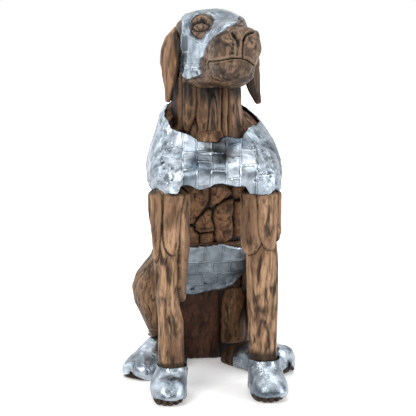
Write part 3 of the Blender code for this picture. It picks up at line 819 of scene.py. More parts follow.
@dataclass(frozen=True)
class WoodFinish:
    """Root wood: tan, brown and scorched, with grain along one direction, and painted shade where the mesh is
    marked for it.
    """

    name: str
    light: Colour
    middle: Colour
    dark: Colour
    scorch: float
    turn: Triple = (0.0, 0.0, 0.0)
    stretch: float = 0.3
    shine: float = 0.5

    def build(self) -> bpy.types.Material:
        """The material."""
        sketch = Sketch(self.name)
        grain = sketch.stretched((1.0, 1.0, self.stretch), self.turn)
        streaks = sketch.stretched((1.0, 1.0, 0.2 * self.stretch), self.turn)
        broad = sketch.noise(grain, 30.0, 3.0, 0.55, 0.5)
        patches = sketch.noise(grain, 62.0, 3.0, 0.5, 0.5)
        marks = sketch.noise(grain, 140.0, 2.0, 0.55, 0.3)
        bands = sketch.noise(streaks, 170.0, 3.0, 0.6, 0.4)
        fine = sketch.noise(streaks, 420.0, 2.0, 0.6, 0.2)
        colour = sketch.blend(sketch.span(broad, 0.38, 0.6), self.middle, self.light)
        colour = sketch.blend(sketch.span(bands, 0.47, 0.6, 0.0, 0.7), colour, self.middle)
        colour = sketch.blend(sketch.span(marks, 0.48, 0.7, 0.0, 0.55), colour, self.dark)
        edge = 0.6 - 0.13 * self.scorch
        colour = sketch.blend(sketch.span(patches, edge, edge + 0.19, 0.0, 0.9), colour, self.dark)
        colour = sketch.blend(sketch.span(fine, 0.52, 0.7, 0.0, 0.45), colour, self.dark)
        # this dark colour paints both the burnt wood and the painted shade that the mesh marks
        burnt = tuple(0.35 * value for value in self.dark)
        colour = sketch.blend(sketch.mark("scorch_and_shade"), colour, burnt)
        colour = sketch.blend(sketch.mark("worn"), colour, self.light)
        sketch.shader.inputs["Specular IOR Level"].default_value = 0.17
        rough = sketch.span(patches, 0.3, 0.7, self.shine - 0.12, self.shine + 0.2)
        normal = sketch.relief(bands, 0.45, 0.0014)
        normal = sketch.relief(marks, 0.4, 0.0016, normal)
        normal = sketch.relief(fine, 0.25, 0.0007, normal)
        return sketch.done(colour, rough, normal)


@dataclass(frozen=True)
class SheetFinish:
    """Hammered aluminium: tiles whose brightness is painted reflection, seams and dents with painted shade.
    """

    name: str
    light: Colour
    dark: Colour
    rough: float

    def build(self) -> bpy.types.Material:
        """The material."""
        sketch = Sketch(self.name)
        sketch.shader.inputs["Metallic"].default_value = 1.0
        plain = sketch.stretched((1.0, 1.0, 1.0))
        cloud = sketch.noise(plain, 34.0, 4.0, 0.6, 0.6)
        crumple = sketch.noise(plain, 170.0, 3.0, 0.55, 0.8)
        scratch = sketch.noise(sketch.stretched((1.0, 1.0, 0.12), (0.4, 0.2, 0.3)), 420.0, 2.0, 0.6)
        # the tile mark's brightness is painted reflection, with painted highlights on the seam beads
        tile = sketch.sum("MULTIPLY", sketch.mark("tile"), 0.62)
        share = sketch.sum("ADD", tile, sketch.span(cloud, 0.3, 0.7, 0, 0.38))
        colour = sketch.blend(sketch.sum("POWER", share, 1.6), self.dark, self.light)
        # painted shade in the seams, folds and along the edges
        colour = sketch.blend(sketch.mark("scorch_and_shade"), colour, (0.03, 0.033, 0.038))
        beaten = sketch.mark("beaten")
        # the crumples are painted darker, as their shade
        folds = sketch.sum("MULTIPLY", sketch.span(crumple, 0.56, 0.74, 0.0, 0.55), beaten)
        colour = sketch.blend(folds, colour, self.dark)
        rough = sketch.span(cloud, 0.3, 0.7, self.rough - 0.08, self.rough + 0.12)
        normal = sketch.relief(crumple, sketch.span(beaten, 0.0, 1.0, 0.06, 0.55), 0.0016)
        normal = sketch.relief(scratch, 0.1, 0.0006, normal)
        return sketch.done(colour, rough, normal)


@dataclass(frozen=True)
class FillerFinish:
    """Matt black filler in the gaps."""

    name: str = "black_filler"

    def build(self) -> bpy.types.Material:
        """The material."""
        sketch = Sketch(self.name)
        crumbs = sketch.noise(sketch.stretched((1.0, 1.0, 1.0)), 300.0, 4.0, 0.6)
        colour = sketch.blend(crumbs, (0.006, 0.005, 0.005), (0.022, 0.016, 0.013))
        rough = sketch.span(crumbs, 0.3, 0.7, 0.75, 0.95)
        return sketch.done(colour, rough, sketch.relief(crumbs, 0.5, 0.002))


class Slot(Enum):
    """Material slots of the record, passed along with new pieces."""

    WOOD = "wood"
    DARK_WOOD = "dark_wood"
    SHEET = "aluminium"


class Finish(Enum):
    """Every finish of the hound."""

    LEG = WoodFinish("leg_root_wood", (0.372, 0.226, 0.13), (0.136, 0.072, 0.039),
                     (0.016, 0.009, 0.007), 1.0)
    CHEST = WoodFinish("chest_root_wood", (0.262, 0.13, 0.062), (0.09, 0.044, 0.022),
                       (0.016, 0.008, 0.006), 0.8)
    NECK = WoodFinish("neck_root_wood", (0.268, 0.152, 0.086), (0.083, 0.044, 0.025),
                      (0.012, 0.008, 0.006), 1.05)
    # dark reddish wood, painted darker still as the shade beneath the belly
    SEAT = WoodFinish("seat_root_wood", (0.092, 0.036, 0.018), (0.042, 0.017, 0.009),
                      (0.01, 0.006, 0.005), 0.8)
    BOARD = WoodFinish("board_root_wood", (0.25, 0.132, 0.058), (0.095, 0.046, 0.021),
                       (0.012, 0.008, 0.006), 0.9)
    HEAD = WoodFinish("head_root_wood", (0.216, 0.14, 0.092), (0.074, 0.046, 0.031),
                      (0.016, 0.01, 0.008), 0.88, stretch=0.8, shine=0.4)
    EAR = WoodFinish("ear_root_wood", (0.29, 0.165, 0.086), (0.115, 0.058, 0.029),
                     (0.022, 0.012, 0.009), 0.65, stretch=0.22)
    HAUNCH = WoodFinish("haunch_root_wood", (0.228, 0.13, 0.068), (0.088, 0.044, 0.022),
                        (0.016, 0.009, 0.007), 0.9)
    FOOT = WoodFinish("foot_root_wood", (0.12, 0.062, 0.032), (0.055, 0.028, 0.015),
                      (0.013, 0.008, 0.006), 0.9)
    FILLER = FillerFinish()
    SHEET = SheetFinish("bright_hammered_sheet", (0.7, 0.78, 0.86), (0.065, 0.092, 0.122), 0.33)
    # a duller copy of the sheet: its dimmer light tone is painted shade under the chest
    PLATE = SheetFinish("shaded_hammered_sheet", (0.6, 0.69, 0.76), (0.13, 0.155, 0.18), 0.42)

    def material(self) -> bpy.types.Material:
        """The finish's material, made once."""
        return bpy.data.materials.get(self.value.name) or self.value.build()


class Side(Enum):
    """The dog's own right and left, as the sign of X."""

    RIGHT = -1
    LEFT = 1

    @property
    def word(self) -> str:
        """The side's name in lower case."""
        return self.name.lower()


# Wood

@dataclass(frozen=True)
class Chisel:
    """How a piece of root wood is worked: lumps, grain ridges, cracks, burnt edges and hollows, and painted
    shade in the hollows and cracks.
    """

    finish: Finish
    slot: Slot = Slot.WOOD
    grain: Triple = (0.0, 0.0, 1.0)
    lump: float = 0.0011
    ridge: float = 0.00045
    crack: float = 0.0024
    crack_share: float = 0.25
    crack_width: float = 0.045  # as a share of the distance between two cracks
    voxel: float = 0.0022
    rounding: int = 14

    def along_grain(self, points: Array, across: float, along: float) -> Array:
        """Points measured in lumps of the grain.

        Args:
            points: Places, in metres.
            across: Size of a lump across the grain.
            along: Size of a lump along the grain.

        Returns:
            The places, in lumps.
        """
        grain = unit(np.array(self.grain))
        share = (points @ grain)[:, None] * grain
        return (points - share) / across + share / along

    def carve(self, piece: Workpiece, seed: int, rim: float | Array = 0.0) -> None:
        """Works the surface and marks what is burnt, where shade is painted into hollows and cracks, and what
        is worn.

        Args:
            piece: The piece.
            seed: Which noise.
            rim: How dark the piece is painted at its own edges and gaps: burnt edges, and painted shade where
                other parts shadow it.
        """
        points = piece.points
        lumps = Noise.cloud(self.along_grain(points, across=0.03, along=0.07), 1.0, seed, 2)
        ridges = Noise.cloud(self.along_grain(points, across=0.0075, along=0.09), 1.0, seed + 1, 2)
        line = Noise.at(self.along_grain(points, across=0.02, along=0.26), 1.0, seed + 2)
        spread = Noise.at(self.along_grain(points, across=0.04, along=0.12), 1.0, seed + 3)
        crack = np.exp(-((line / self.crack_width) ** 2))
        crack = crack * ease(spread, 0.35 - self.crack_share, 0.6 - self.crack_share)
        edge = piece.crest(9)
        piece.swell(self.lump * lumps + self.ridge * ridges - self.crack * crack)
        hollow = piece.crest(5)
        noise = Noise.cloud(points, 0.012, seed + 4, 2)
        burnt = ease(np.abs(edge), 0.0016, 0.0042) * ease(noise, -0.9, 0.3) * 0.75
        # painted shade in the hollows and cracks, added to the burnt patches and the rim
        scorch_and_shade = np.clip(ease(-hollow, 0.00012, 0.0007) * 0.8 + crack * 0.9 + burnt + rim, 0, 1)
        piece.mark("scorch_and_shade", scorch_and_shade)
        piece.mark("worn", ease(hollow, 0.00012, 0.0006) * 0.35 * (1 - burnt))

    def rough(self, node: str) -> Workpiece:
        """An uncarved copy of a CAD node."""
        return Workpiece.from_node(node, f"{node}_wood", self.rounding, self.voxel)

    def dress(self, piece: Workpiece, *nodes: str) -> None:
        """Gives a carved piece the finish and hands it over for its CAD nodes."""
        piece.finish(self.finish.material(), self.slot.value, *nodes)

    def make(self, node: str, seed: int, spread: float = 0.0) -> None:
        """A carved piece in the place of a CAD node.

        Args:
            node: The node's name.
            seed: Which noise.
            spread: How far it is set outward from the middle, in metres.
        """
        piece = self.rough(node)
        points = piece.points
        points[:, 0] += spread * np.sign(points[:, 0])
        piece.move(points)
        self.carve(piece, seed)
        self.dress(piece, node)


@dataclass
class Timber:
    """The slabs and logs that keep the outline of their CAD nodes."""

    coarse: Chisel = Chisel(Finish.NECK, voxel=0.0042)
    seat: Chisel = Chisel(Finish.SEAT, Slot.DARK_WOOD, voxel=0.0036)
    neck: Chisel = Chisel(Finish.NECK, Slot.DARK_WOOD, crack_share=0.3, voxel=0.0028)
    board: Chisel = Chisel(Finish.FOOT, lump=0.0003, ridge=0.0001, crack_share=0.0, voxel=0.004)
    flank_spread: float = 0.009  # how much further out the seat's flanks stand
    first_seed: int = 40
    seed_step: int = 11

    def plan(self) -> dict[str, Chisel]:
        """Which chisel works which node, by the start of its name."""
        return {
            "belly_board": self.board, "flank_slab": self.coarse, "back_slab": self.coarse,
            "shoulder_slab": self.coarse, "seat_": self.seat, "neck_slab": self.neck,
        }

    def build(self, nodes: list[str]) -> None:
        """Carves every wooden node of the plan.

        Args:
            nodes: Names of the CAD nodes that are still shown.
        """
        plan = self.plan()
        for number, node in enumerate(sorted(nodes)):
            start = next((key for key in plan if node.startswith(key)), None)
            if start:
                spread = self.flank_spread if node.startswith("seat_flank") else 0.0
                plan[start].make(node, self.first_seed + self.seed_step * number, spread)


@dataclass
class Tail:
    """The plain tail, its root let into the seat."""

    reach: float = 0.012  # how far the root goes into the seat
    root: float = 0.06  # length that is stretched for it
    seed: int = 501

    def build(self) -> None:
        """The tail."""
        chisel = Chisel(Finish.FOOT, Slot.DARK_WOOD, lump=0.0006, rounding=4)
        piece = chisel.rough("tail")
        points = piece.points
        near = points[:, 1].min()
        points[:, 1] -= self.reach * ease(near - points[:, 1], -self.root, 0.0)
        piece.move(points)
        chisel.carve(piece, self.seed)
        chisel.dress(piece, "tail")


@dataclass
class Haunch:
    """One thigh of two slabs, its bulge trimmed to the outline in the picture."""

    side: Side
    inner: float  # where the bulge begins, from the middle of the row frame
    bulge: tuple[Pair, ...] = (  # height from the centre, depth of the bulge in the solids
        (-0.1, 0.0), (-0.086, 0.034), (-0.06, 0.044), (-0.026, 0.05),
        (0.026, 0.05), (0.06, 0.044), (0.086, 0.034), (0.1, 0.0))
    outline: tuple[Pair, ...] = (  # level, depth of the bulge in the picture
        (0.04, 0.001), (0.066, 0.003), (0.09, 0.017), (0.115, 0.029), (0.153, 0.0465),
        (0.188, 0.052), (0.212, 0.045), (0.23, 0.03), (0.25, 0.013), (0.272, 0.002))
    centre: float = 0.172
    least_depth: float = 0.012
    shares: Pair = (0.08, 1.1)  # least and most share of the bulge that is left
    seed: int = 451

    def build(self) -> None:
        """Both slabs, dark at the foot."""
        chisel = Chisel(Finish.HAUNCH, grain=(0.0, 0.45, 1.0), voxel=0.0032)
        heights, depths = np.array(self.bulge).T
        levels, wanted = np.array(self.outline).T
        for number, part in enumerate(("front", "rear")):
            node = f"haunch_{part}_{self.side.word}"
            piece = chisel.rough(node)
            points = piece.points
            out = points[:, 0] * self.side.value - self.inner
            full = np.interp(points[:, 2] - self.centre, heights, depths)
            share = np.interp(points[:, 2], levels, wanted) / np.maximum(full, self.least_depth)
            share = np.where(out > 0, np.clip(share, *self.shares), 1.0)
            points[:, 0] = (self.inner + out * share) * self.side.value
            piece.move(points)
            low = ease(-points[:, 2], -0.1, -0.06)
            chisel.carve(piece, self.seed + 10 * number + self.side.value, 0.5 * low)
            chisel.dress(piece, node)


@dataclass
class Ear:
    """One hanging ear, moved across the picture row by row to its outline there."""

    side: Side
    rows: tuple[Triple, ...]  # row of the picture, squares to the right, squares down
    shade: tuple[Pair, ...]  # the edge of the part painted black as shade: square across, row
    dim: float = 0.0  # how dark the rest of it is painted, as shade
    seed: int = 471

    def build(self) -> None:
        """The ear, with its inner edge painted black as shade."""
        chisel = Chisel(Finish.EAR, ridge=0.0008, lump=0.0008, voxel=0.002, crack_share=0.08)
        node = f"ear_{self.side.word}"
        piece = chisel.rough(node)
        points = piece.points
        right, up, _ = np.array(SIGHT.turned).T
        seen, scale = SIGHT.seen(points)
        rows, across, down = np.array(self.rows).T
        aside, below = np.interp(seen[:, 1], rows, across), np.interp(seen[:, 1], rows, down)
        points = points + (scale * aside)[:, None] * right - (scale * below)[:, None] * up
        piece.move(points)
        seen, _ = SIGHT.seen(points)
        edges, heights = np.array(self.shade).T
        past = (seen[:, 0] - np.interp(seen[:, 1], heights, edges)) * -self.side.value
        chisel.carve(piece, self.seed + self.side.value, np.maximum(self.dim, 0.95 * ease(past, -1.0, 1.4)))
        chisel.dress(piece, node)


@dataclass
class Paw:
    """One wooden front paw, with its toes below the cover."""

    side: Side
    middle: float  # across, in metres
    wide: float  # its width as a share of the solid's
    aside: float  # how far it is moved across, in metres
    striped: float  # how bright the toes are between their grooves
    toes: tuple[float, ...] = (-0.021, -0.007, 0.008, 0.022)  # grooves, from the middle
    instep: float = 0.046  # level above which the paw is pressed flat
    press: float = 0.4  # how much of its height is left there
    seed: int = 481

    def build(self) -> None:
        """The paw, grooved between the toes."""
        chisel = Chisel(Finish.FOOT, Slot.DARK_WOOD, lump=0.0006, voxel=0.002)
        node = f"front_paw_{self.side.word}"
        piece = chisel.rough(node)
        points = piece.points
        low = ease(-points[:, 2], -0.026, -0.018) * ease(-(points[:, 1] - ORIGIN.y), 0.09, 0.11)
        across = points[:, 0] - ORIGIN.x - self.middle
        groove = np.max([bump(across - toe, 0.0042) for toe in self.toes], axis=0) * low
        crest = np.max([bump(across - toe - 0.007, 0.0034) for toe in (-0.035, *self.toes)], axis=0)
        points[:, 0] = ORIGIN.x + self.middle + across * self.wide + self.aside
        above = points[:, 2] - self.instep
        points[:, 2] = np.where(points[:, 2] > self.instep, self.instep + self.press * above, points[:, 2])
        piece.move(points)
        piece.swell(0.0012 * low - 0.003 * groove)
        # the grooves between the toes are painted dark as shade; the rest is dark, with lighter stripes on
        # the toes
        dark = np.clip(0.9 * groove + 0.85 - self.striped * crest, 0, 0.95)
        chisel.carve(piece, self.seed + self.side.value, dark)
        chisel.dress(piece, node)


@dataclass
class HindFoot:
    """One hind foot, with its height brought to the outline in the picture."""

    side: Side
    heels: Pair = (0.048, 0.055)  # of the right and the left foot, from the middle
    splay: float = 41.0
    heights: tuple[tuple[Pair, ...], ...] = (  # distance from the heel and factor, right and left
        ((0.0, 1.0), (0.178, 1.0)),
        ((0.0, 0.64), (0.06, 0.62), (0.1, 0.84), (0.135, 1.18), (0.164, 1.45), (0.178, 1.6)))
    seed: int = 491

    @property
    def frame(self) -> Matrix:
        """A frame at the heel, with +Z along the foot."""
        splay, heel = math.radians(self.splay), self.heels[self.side is Side.LEFT]
        return placed(ORIGIN + Vector((heel * self.side.value, 0.182, 0)),
                      Vector((math.sin(splay) * self.side.value, -math.cos(splay), 0)), Vector((0, 0, 1)))

    @property
    def skin(self) -> Skin:
        """The foot's form."""
        return Skin([
            (0.0, 0, -0.01, 0.018, 0.018, 2.3, 0), (0.01, 0, -0.018, 0.027, 0.032, 2.4, 0),
            (0.035, 0, -0.028, 0.032, 0.046, 2.5, 0), (0.065, 0, -0.032, 0.036, 0.052, 2.4, 0),
            (0.098, 0, -0.026, 0.04, 0.044, 2.4, 0), (0.135, 0, -0.016, 0.042, 0.032, 2.5, 0),
            (0.164, 0, -0.014, 0.036, 0.024, 2.5, 0), (0.176, 0, -0.015, 0.028, 0.018, 2.4, 0),
            (0.182, 0, -0.016, 0.016, 0.01, 2.2, 0), (0.1845, 0, -0.016, 0.003, 0.002, 2.0, 0),
        ], self.frame)

    def fit(self, piece: Workpiece) -> None:
        """Raises and lowers a piece of the foot along its length.

        Args:
            piece: The wooden foot or its cover.
        """
        points = piece.points
        along = self.skin.inside(points)[:, 2]
        points[:, 2] *= np.interp(along, *np.array(self.heights[self.side is Side.LEFT]).T)
        piece.move(points)

    def build(self) -> None:
        """The wooden foot, black at the toes; the right foot is painted black all over, as the shade behind
        the right foreleg.
        """
        chisel = Chisel(Finish.FOOT, Slot.DARK_WOOD, lump=0.0006, voxel=0.003)
        node = f"hind_foot_{self.side.word}"
        piece = chisel.rough(node)
        self.fit(piece)
        along = self.skin.inside(piece.points)[:, 2]
        # the right foot is painted black as the foreleg's shade
        dark = 0.9 * ease(along, 0.09, 0.12) if self.side is Side.LEFT else 0.9
        chisel.carve(piece, self.seed + self.side.value, dark)
        chisel.dress(piece, node)


# Hammered sheet

@dataclass
class Tiling:
    """Tiles of sheet: columns with their own staggered seams, each tile a little tilted."""

    columns: list[float]
    seams: dict[int, list[float]]
    pitch: Pair
    tones: dict[tuple[int, int], Triple]  # tone, and how it grows across and upward; painted reflection
    seed: int
    bead: float = 0.0007  # height of the raised seams
    tilt: float = 0.0011
    waver: float = 0.0022  # how far seams stray from their drawn lines

    SPARE = 40  # columns beyond the drawn ones, on each side
    APART = 64  # keeps the tile numbers of two columns apart

    def lay(self, across: Array, along: Array) -> tuple[Array, Array, Array]:
        """Works out the tiles.

        Args:
            across: Distances round the form, in metres.
            along: Levels, in metres.

        Returns:
            Heights in metres, tones from 0 to 1 that are painted reflection with painted highlights on the
            seam beads, and the painted shade beside the seams.
        """
        place = np.stack([across, along, across * 0], axis=-1)
        across = across + self.waver * Noise.cloud(place, 0.018, self.seed)
        along = along + self.waver * Noise.cloud(place, 0.02, self.seed + 1)
        width, rise = self.pitch
        before = self.columns[0] - width * np.arange(self.SPARE, 0, -1)
        after = self.columns[-1] + width * np.arange(1, self.SPARE + 1)
        edges = np.concatenate([before, self.columns, after])
        column = np.clip(np.searchsorted(edges, across) - 1, 0, len(edges) - 2)
        number = column - self.SPARE
        gap = np.minimum(across - edges[column], edges[column + 1] - across)
        middle = (edges[column] + edges[column + 1]) / 2
        stagger = rise * Noise.pick(number, self.seed + 2)
        row = np.floor((along + stagger) / rise).astype(int)
        low = row * rise - stagger
        high = low + rise
        for own, levels in self.seams.items():
            stops = np.array([-9.0, *sorted(levels), 9.0])
            found = np.searchsorted(stops, along) - 1
            here = number == own
            row = np.where(here, found, row)
            low, high = np.where(here, stops[found], low), np.where(here, stops[found + 1], high)
        gap = np.minimum(gap, np.minimum(along - low, high - along))
        tile = number * self.APART + row
        high, low = np.where(high > 1, low + rise, high), np.where(low < -1, high - rise, low)
        sideways = np.clip(2 * (across - middle) / width, -1, 1)
        upward = np.clip((2 * along - low - high) / (high - low), -1, 1)
        slope = Noise.pick(tile, self.seed + 4) * sideways + Noise.pick(tile, self.seed + 5) * upward
        # each tile's tone is painted reflection, following its tilt
        tone = 0.5 + 0.4 * Noise.pick(tile, self.seed + 3) + 0.28 * slope
        for (own, own_row), (value, across_gain, upward_gain) in self.tones.items():
            own_tone = value + across_gain * sideways + upward_gain * upward
            tone = np.where((number == own) & (row == own_row), own_tone, tone)
        height = self.tilt * slope + 0.0005 * Noise.pick(tile, self.seed + 6) + self.bead * bump(gap, 0.0015)
        # painted highlight on the seam beads and painted shadow beside them
        return height, tone + 0.35 * bump(gap, 0.0013), 0.85 * bump(gap - 0.0021, 0.0012)


def crumple(points: Array, seed: int) -> Array:
    """Sharp little folds of beaten sheet, from about -1 to 1."""
    folds = 1 - 3 * np.abs(Noise.cloud(points, 0.015, seed, 2))
    return 0.65 * folds + 0.5 * Noise.cloud(points, 0.007, seed + 5, 2)


@dataclass
class Nails:
    """Small domed nail heads on a sheet, set by geometry nodes."""

    radius: float = 0.0017
    seed: int = 5

    def tree(self, material: bpy.types.Material) -> bpy.types.NodeTree:
        """Geometry nodes that put a squashed dome, turned to the surface, on every point.

        Args:
            material: The heads' finish.

        Returns:
            The node group.
        """
        group = bpy.data.node_groups.new("nail_heads", "GeometryNodeTree")
        group.interface.new_socket("Geometry", in_out="INPUT", socket_type="NodeSocketGeometry")
        group.interface.new_socket("Head radius", in_out="INPUT", socket_type="NodeSocketFloat")
        group.interface.new_socket("Geometry", in_out="OUTPUT", socket_type="NodeSocketGeometry")
        new, link = group.nodes.new, group.links.new
        source, sink = new("NodeGroupInput"), new("NodeGroupOutput")
        dome = new("GeometryNodeMeshUVSphere")
        dome.inputs["Segments"].default_value, dome.inputs["Rings"].default_value = 10, 6
        link(source.outputs["Head radius"], dome.inputs["Radius"])
        facing = new("GeometryNodeInputNamedAttribute")
        facing.data_type = "FLOAT_VECTOR"
        facing.inputs["Name"].default_value = "facing"
        turn = new("FunctionNodeAlignRotationToVector")
        turn.axis = "Z"
        link(facing.outputs["Attribute"], turn.inputs["Vector"])
        size = new("FunctionNodeRandomValue")
        size.data_type = "FLOAT"
        smallest, largest = size.inputs[2], size.inputs[3]
        smallest.default_value, largest.default_value = 0.7, 1.25
        size.inputs["Seed"].default_value = self.seed
        squash = new("ShaderNodeCombineXYZ")
        flat = new("ShaderNodeMath")
        flat.operation = "MULTIPLY"
        flat.inputs[1].default_value = 0.55
        link(size.outputs[1], flat.inputs[0])
        link(size.outputs[1], squash.inputs["X"])
        link(size.outputs[1], squash.inputs["Y"])
        link(flat.outputs["Value"], squash.inputs["Z"])
        put, real = new("GeometryNodeInstanceOnPoints"), new("GeometryNodeRealizeInstances")
        dress = new("GeometryNodeSetMaterial")
        dress.inputs["Material"].default_value = material
        link(source.outputs["Geometry"], put.inputs["Points"])
        link(dome.outputs["Mesh"], put.inputs["Instance"])
        link(turn.outputs["Rotation"], put.inputs["Rotation"])
        link(squash.outputs["Vector"], put.inputs["Scale"])
        link(put.outputs["Instances"], real.inputs["Geometry"])
        link(real.outputs["Geometry"], dress.inputs["Geometry"])
        link(dress.outputs["Geometry"], sink.inputs["Geometry"])
        return group

    def drive(self, name: str, places: Array, facing: Array) -> None:
        """Sets one head at each place.

        Args:
            name: Name of the piece.
            places: Points on the sheet.
            facing: Outward directions there.
        """
        mesh = bpy.data.meshes.new(name)
        mesh.from_pydata(places.tolist(), [], [])
        layer = mesh.attributes.new("facing", "FLOAT_VECTOR", "POINT")
        layer.data.foreach_set("vector", np.asarray(facing, np.float32).ravel())
        piece = Workpiece(linked(name, mesh))
        material = Finish.SHEET.material()
        heads = piece.obj.modifiers.new("heads", "NODES")
        heads.node_group = self.tree(material)
        sockets = {item.name: item.identifier for item in heads.node_group.interface.items_tree}
        heads[sockets["Head radius"]] = self.radius
        piece.settle()
        # the heads are painted bright, as a highlight
        piece.mark("tile", np.full(len(piece.mesh.vertices), 0.9))
        piece.finish(material, Slot.SHEET.value)


@dataclass
class Cape:
    """The patchwork over shoulders, back and the tops of the legs, with the wooden yoke under it."""

    rings: tuple = (
        (0.418, 0.0061, 0.0365, 0.1342, 0.1585, 5.2, 0), (0.44, 0.0061, 0.036, 0.1342, 0.158, 5.0, 0),
        (0.475, 0.0074, 0.034, 0.1366, 0.156, 3.6, 2), (0.505, 0.0095, 0.032, 0.1335, 0.146, 2.6, 7),
        (0.535, 0.0075, 0.029, 0.1225, 0.127, 2.25, 15), (0.56, 0.0006, 0.026, 0.1086, 0.106, 2.15, 22),
        (0.585, -0.0118, 0.02, 0.0873, 0.079, 2.1, 28), (0.602, -0.01, 0.016, 0.074, 0.066, 2.1, 30),
    )
    hem: tuple = (  # share of half the girth, level
        (-0.33, 0.435), (-0.278, 0.4349), (-0.238, 0.4349), (-0.232, 0.4289), (-0.198, 0.4313),
        (-0.164, 0.4313), (-0.158, 0.4373), (-0.154, 0.4481), (-0.134, 0.4517), (-0.11, 0.4481),
        (-0.094, 0.4421), (-0.082, 0.4397), (-0.046, 0.4445), (-0.026, 0.4517), (0.006, 0.4541),
        (0.03, 0.4505), (0.058, 0.4457), (0.098, 0.4469), (0.108, 0.4361), (0.114, 0.4301), (0.15, 0.4277),
        (0.19, 0.4265), (0.206, 0.4301), (0.222, 0.4373), (0.25, 0.43), (0.33, 0.435),
    )
    neckline: tuple = (
        (-0.76, 0.575), (-0.64, 0.58), (-0.56, 0.596), (-0.52, 0.599), (-0.488, 0.59), (-0.434, 0.5885),
        (-0.37, 0.5885), (-0.33, 0.5845), (-0.306, 0.5801), (-0.234, 0.5801), (-0.17, 0.5801),
        (-0.126, 0.5777), (-0.099, 0.5755), (-0.096, 0.5707), (-0.046, 0.5693), (0.042, 0.5693),
        (0.062, 0.5735), (0.086, 0.5753), (0.118, 0.5777), (0.146, 0.5753), (0.17, 0.571), (0.206, 0.5681),
        (0.254, 0.5729), (0.314, 0.5753), (0.354, 0.5753), (0.39, 0.5729), (0.43, 0.5681), (0.52, 0.564),
        (0.64, 0.572), (0.76, 0.575),
    )
    columns: tuple = (157.0, 170.0, 183.0, 197.0, 211.7, 226.2, 240.4, 256.2, 272.8)  # across the picture
    seams: tuple = (  # rows of the picture, for each column
        (146.0, 166.0, 183.0), (148.0, 160.0, 174.0), (153.4, 170.5), (150.5, 155.0, 162.6, 186.5),
        (154.0, 171.3), (145.0, 158.8, 178.4), (150.4, 166.4), (154.7, 176.0),
    )
    square: float = 0.00215  # metres of sheet to a square of the picture
    zero: Pair = (211.0, 300.0)  # square across and row of the picture where the tiles are measured from
    tones: tuple = (  # column, row from below, tone, how it grows across and upward; the tones are painted reflection
        (0, 1, 0.75, 0.2, 0.0), (0, 2, 0.65, 0.2, 0.1), (1, 0, 0.85, 0.0, -0.1), (1, 1, 0.9, -0.2, -0.1),
        (1, 2, 0.5, -0.3, -0.1), (1, 3, 0.78, 0.0, 0.1), (2, 0, 0.2, 0.1, -0.1), (2, 1, 0.55, -0.75, 0.55),
        (2, 2, 0.78, -0.1, 0.1), (3, 1, 0.4, 0.0, -0.25), (3, 0, 0.55, 0.0, -0.2), (3, 2, 0.42, 0.1, -0.1),
        (3, 3, 0.3, 0.0, -0.5), (3, 4, 1.0, 0.1, 0.1), (4, 2, 0.12, 0.1, -0.1), (4, 1, 0.42, 0.0, -0.25),
        (4, 0, 0.62, 0.0, -0.25), (5, 3, 0.3, -0.2, 0.2), (5, 2, 0.62, 0.85, -0.75), (5, 1, 1.15, 0.1, 0.1),
        (5, 0, 0.6, 0.0, 0.2), (6, 2, 0.55, 0.2, 0.1), (6, 1, 1.1, 0.0, 0.0), (6, 0, 0.72, -0.1, 0.3),
        (7, 1, 0.62, -0.2, 0.1), (7, 0, 0.62, 0.0, 0.1), (7, 2, 0.5, 0.0, 0.1),
    )
    nail_squares: tuple = (
        (161.2, 153.0), (163.7, 150.2), (167.0, 150.0), (169.5, 149.8), (172.6, 149.2), (163.7, 158.8),
        (162.0, 161.0), (167.0, 159.7), (164.5, 163.8), (161.2, 166.3), (163.3, 164.7), (163.7, 173.8),
        (161.7, 176.3), (167.0, 176.3), (169.5, 181.3), (174.5, 178.0), (158.7, 170.5), (166.2, 169.7),
        (170.3, 166.3), (157.8, 156.3), (160.0, 182.0), (177.5, 172.0), (251.2, 143.8), (253.7, 148.0),
        (255.3, 153.0), (257.0, 156.3), (250.3, 148.0), (256.2, 162.0), (257.0, 164.7), (257.5, 170.5),
        (257.0, 180.5), (259.5, 178.8), (260.7, 179.7), (266.2, 168.0), (270.0, 159.0), (272.0, 163.0),
        (272.6, 170.0), (263.0, 174.0), (268.7, 181.3), (265.0, 160.5), (261.0, 152.0), (267.0, 149.0),
    )
    craters: tuple = ((269.5, 177.0), (254.7, 180.3), (172.3, 180.2))
    depth: float = 0.0016
    gap: float = 0.0014  # between the form and the sheet
    front_share: float = 0.36  # share of half the girth that is meshed finely, as it is seen in the picture
    grid: tuple[int, int, int] = (236, 58, 76)  # columns in front, columns on each side, rows
    edge_seed: int = 3
    tile_seed: int = 11
    fold_seed: int = 21
    nail_seed: int = 31
    yoke_seed: int = 381
    nails_behind: int = 36

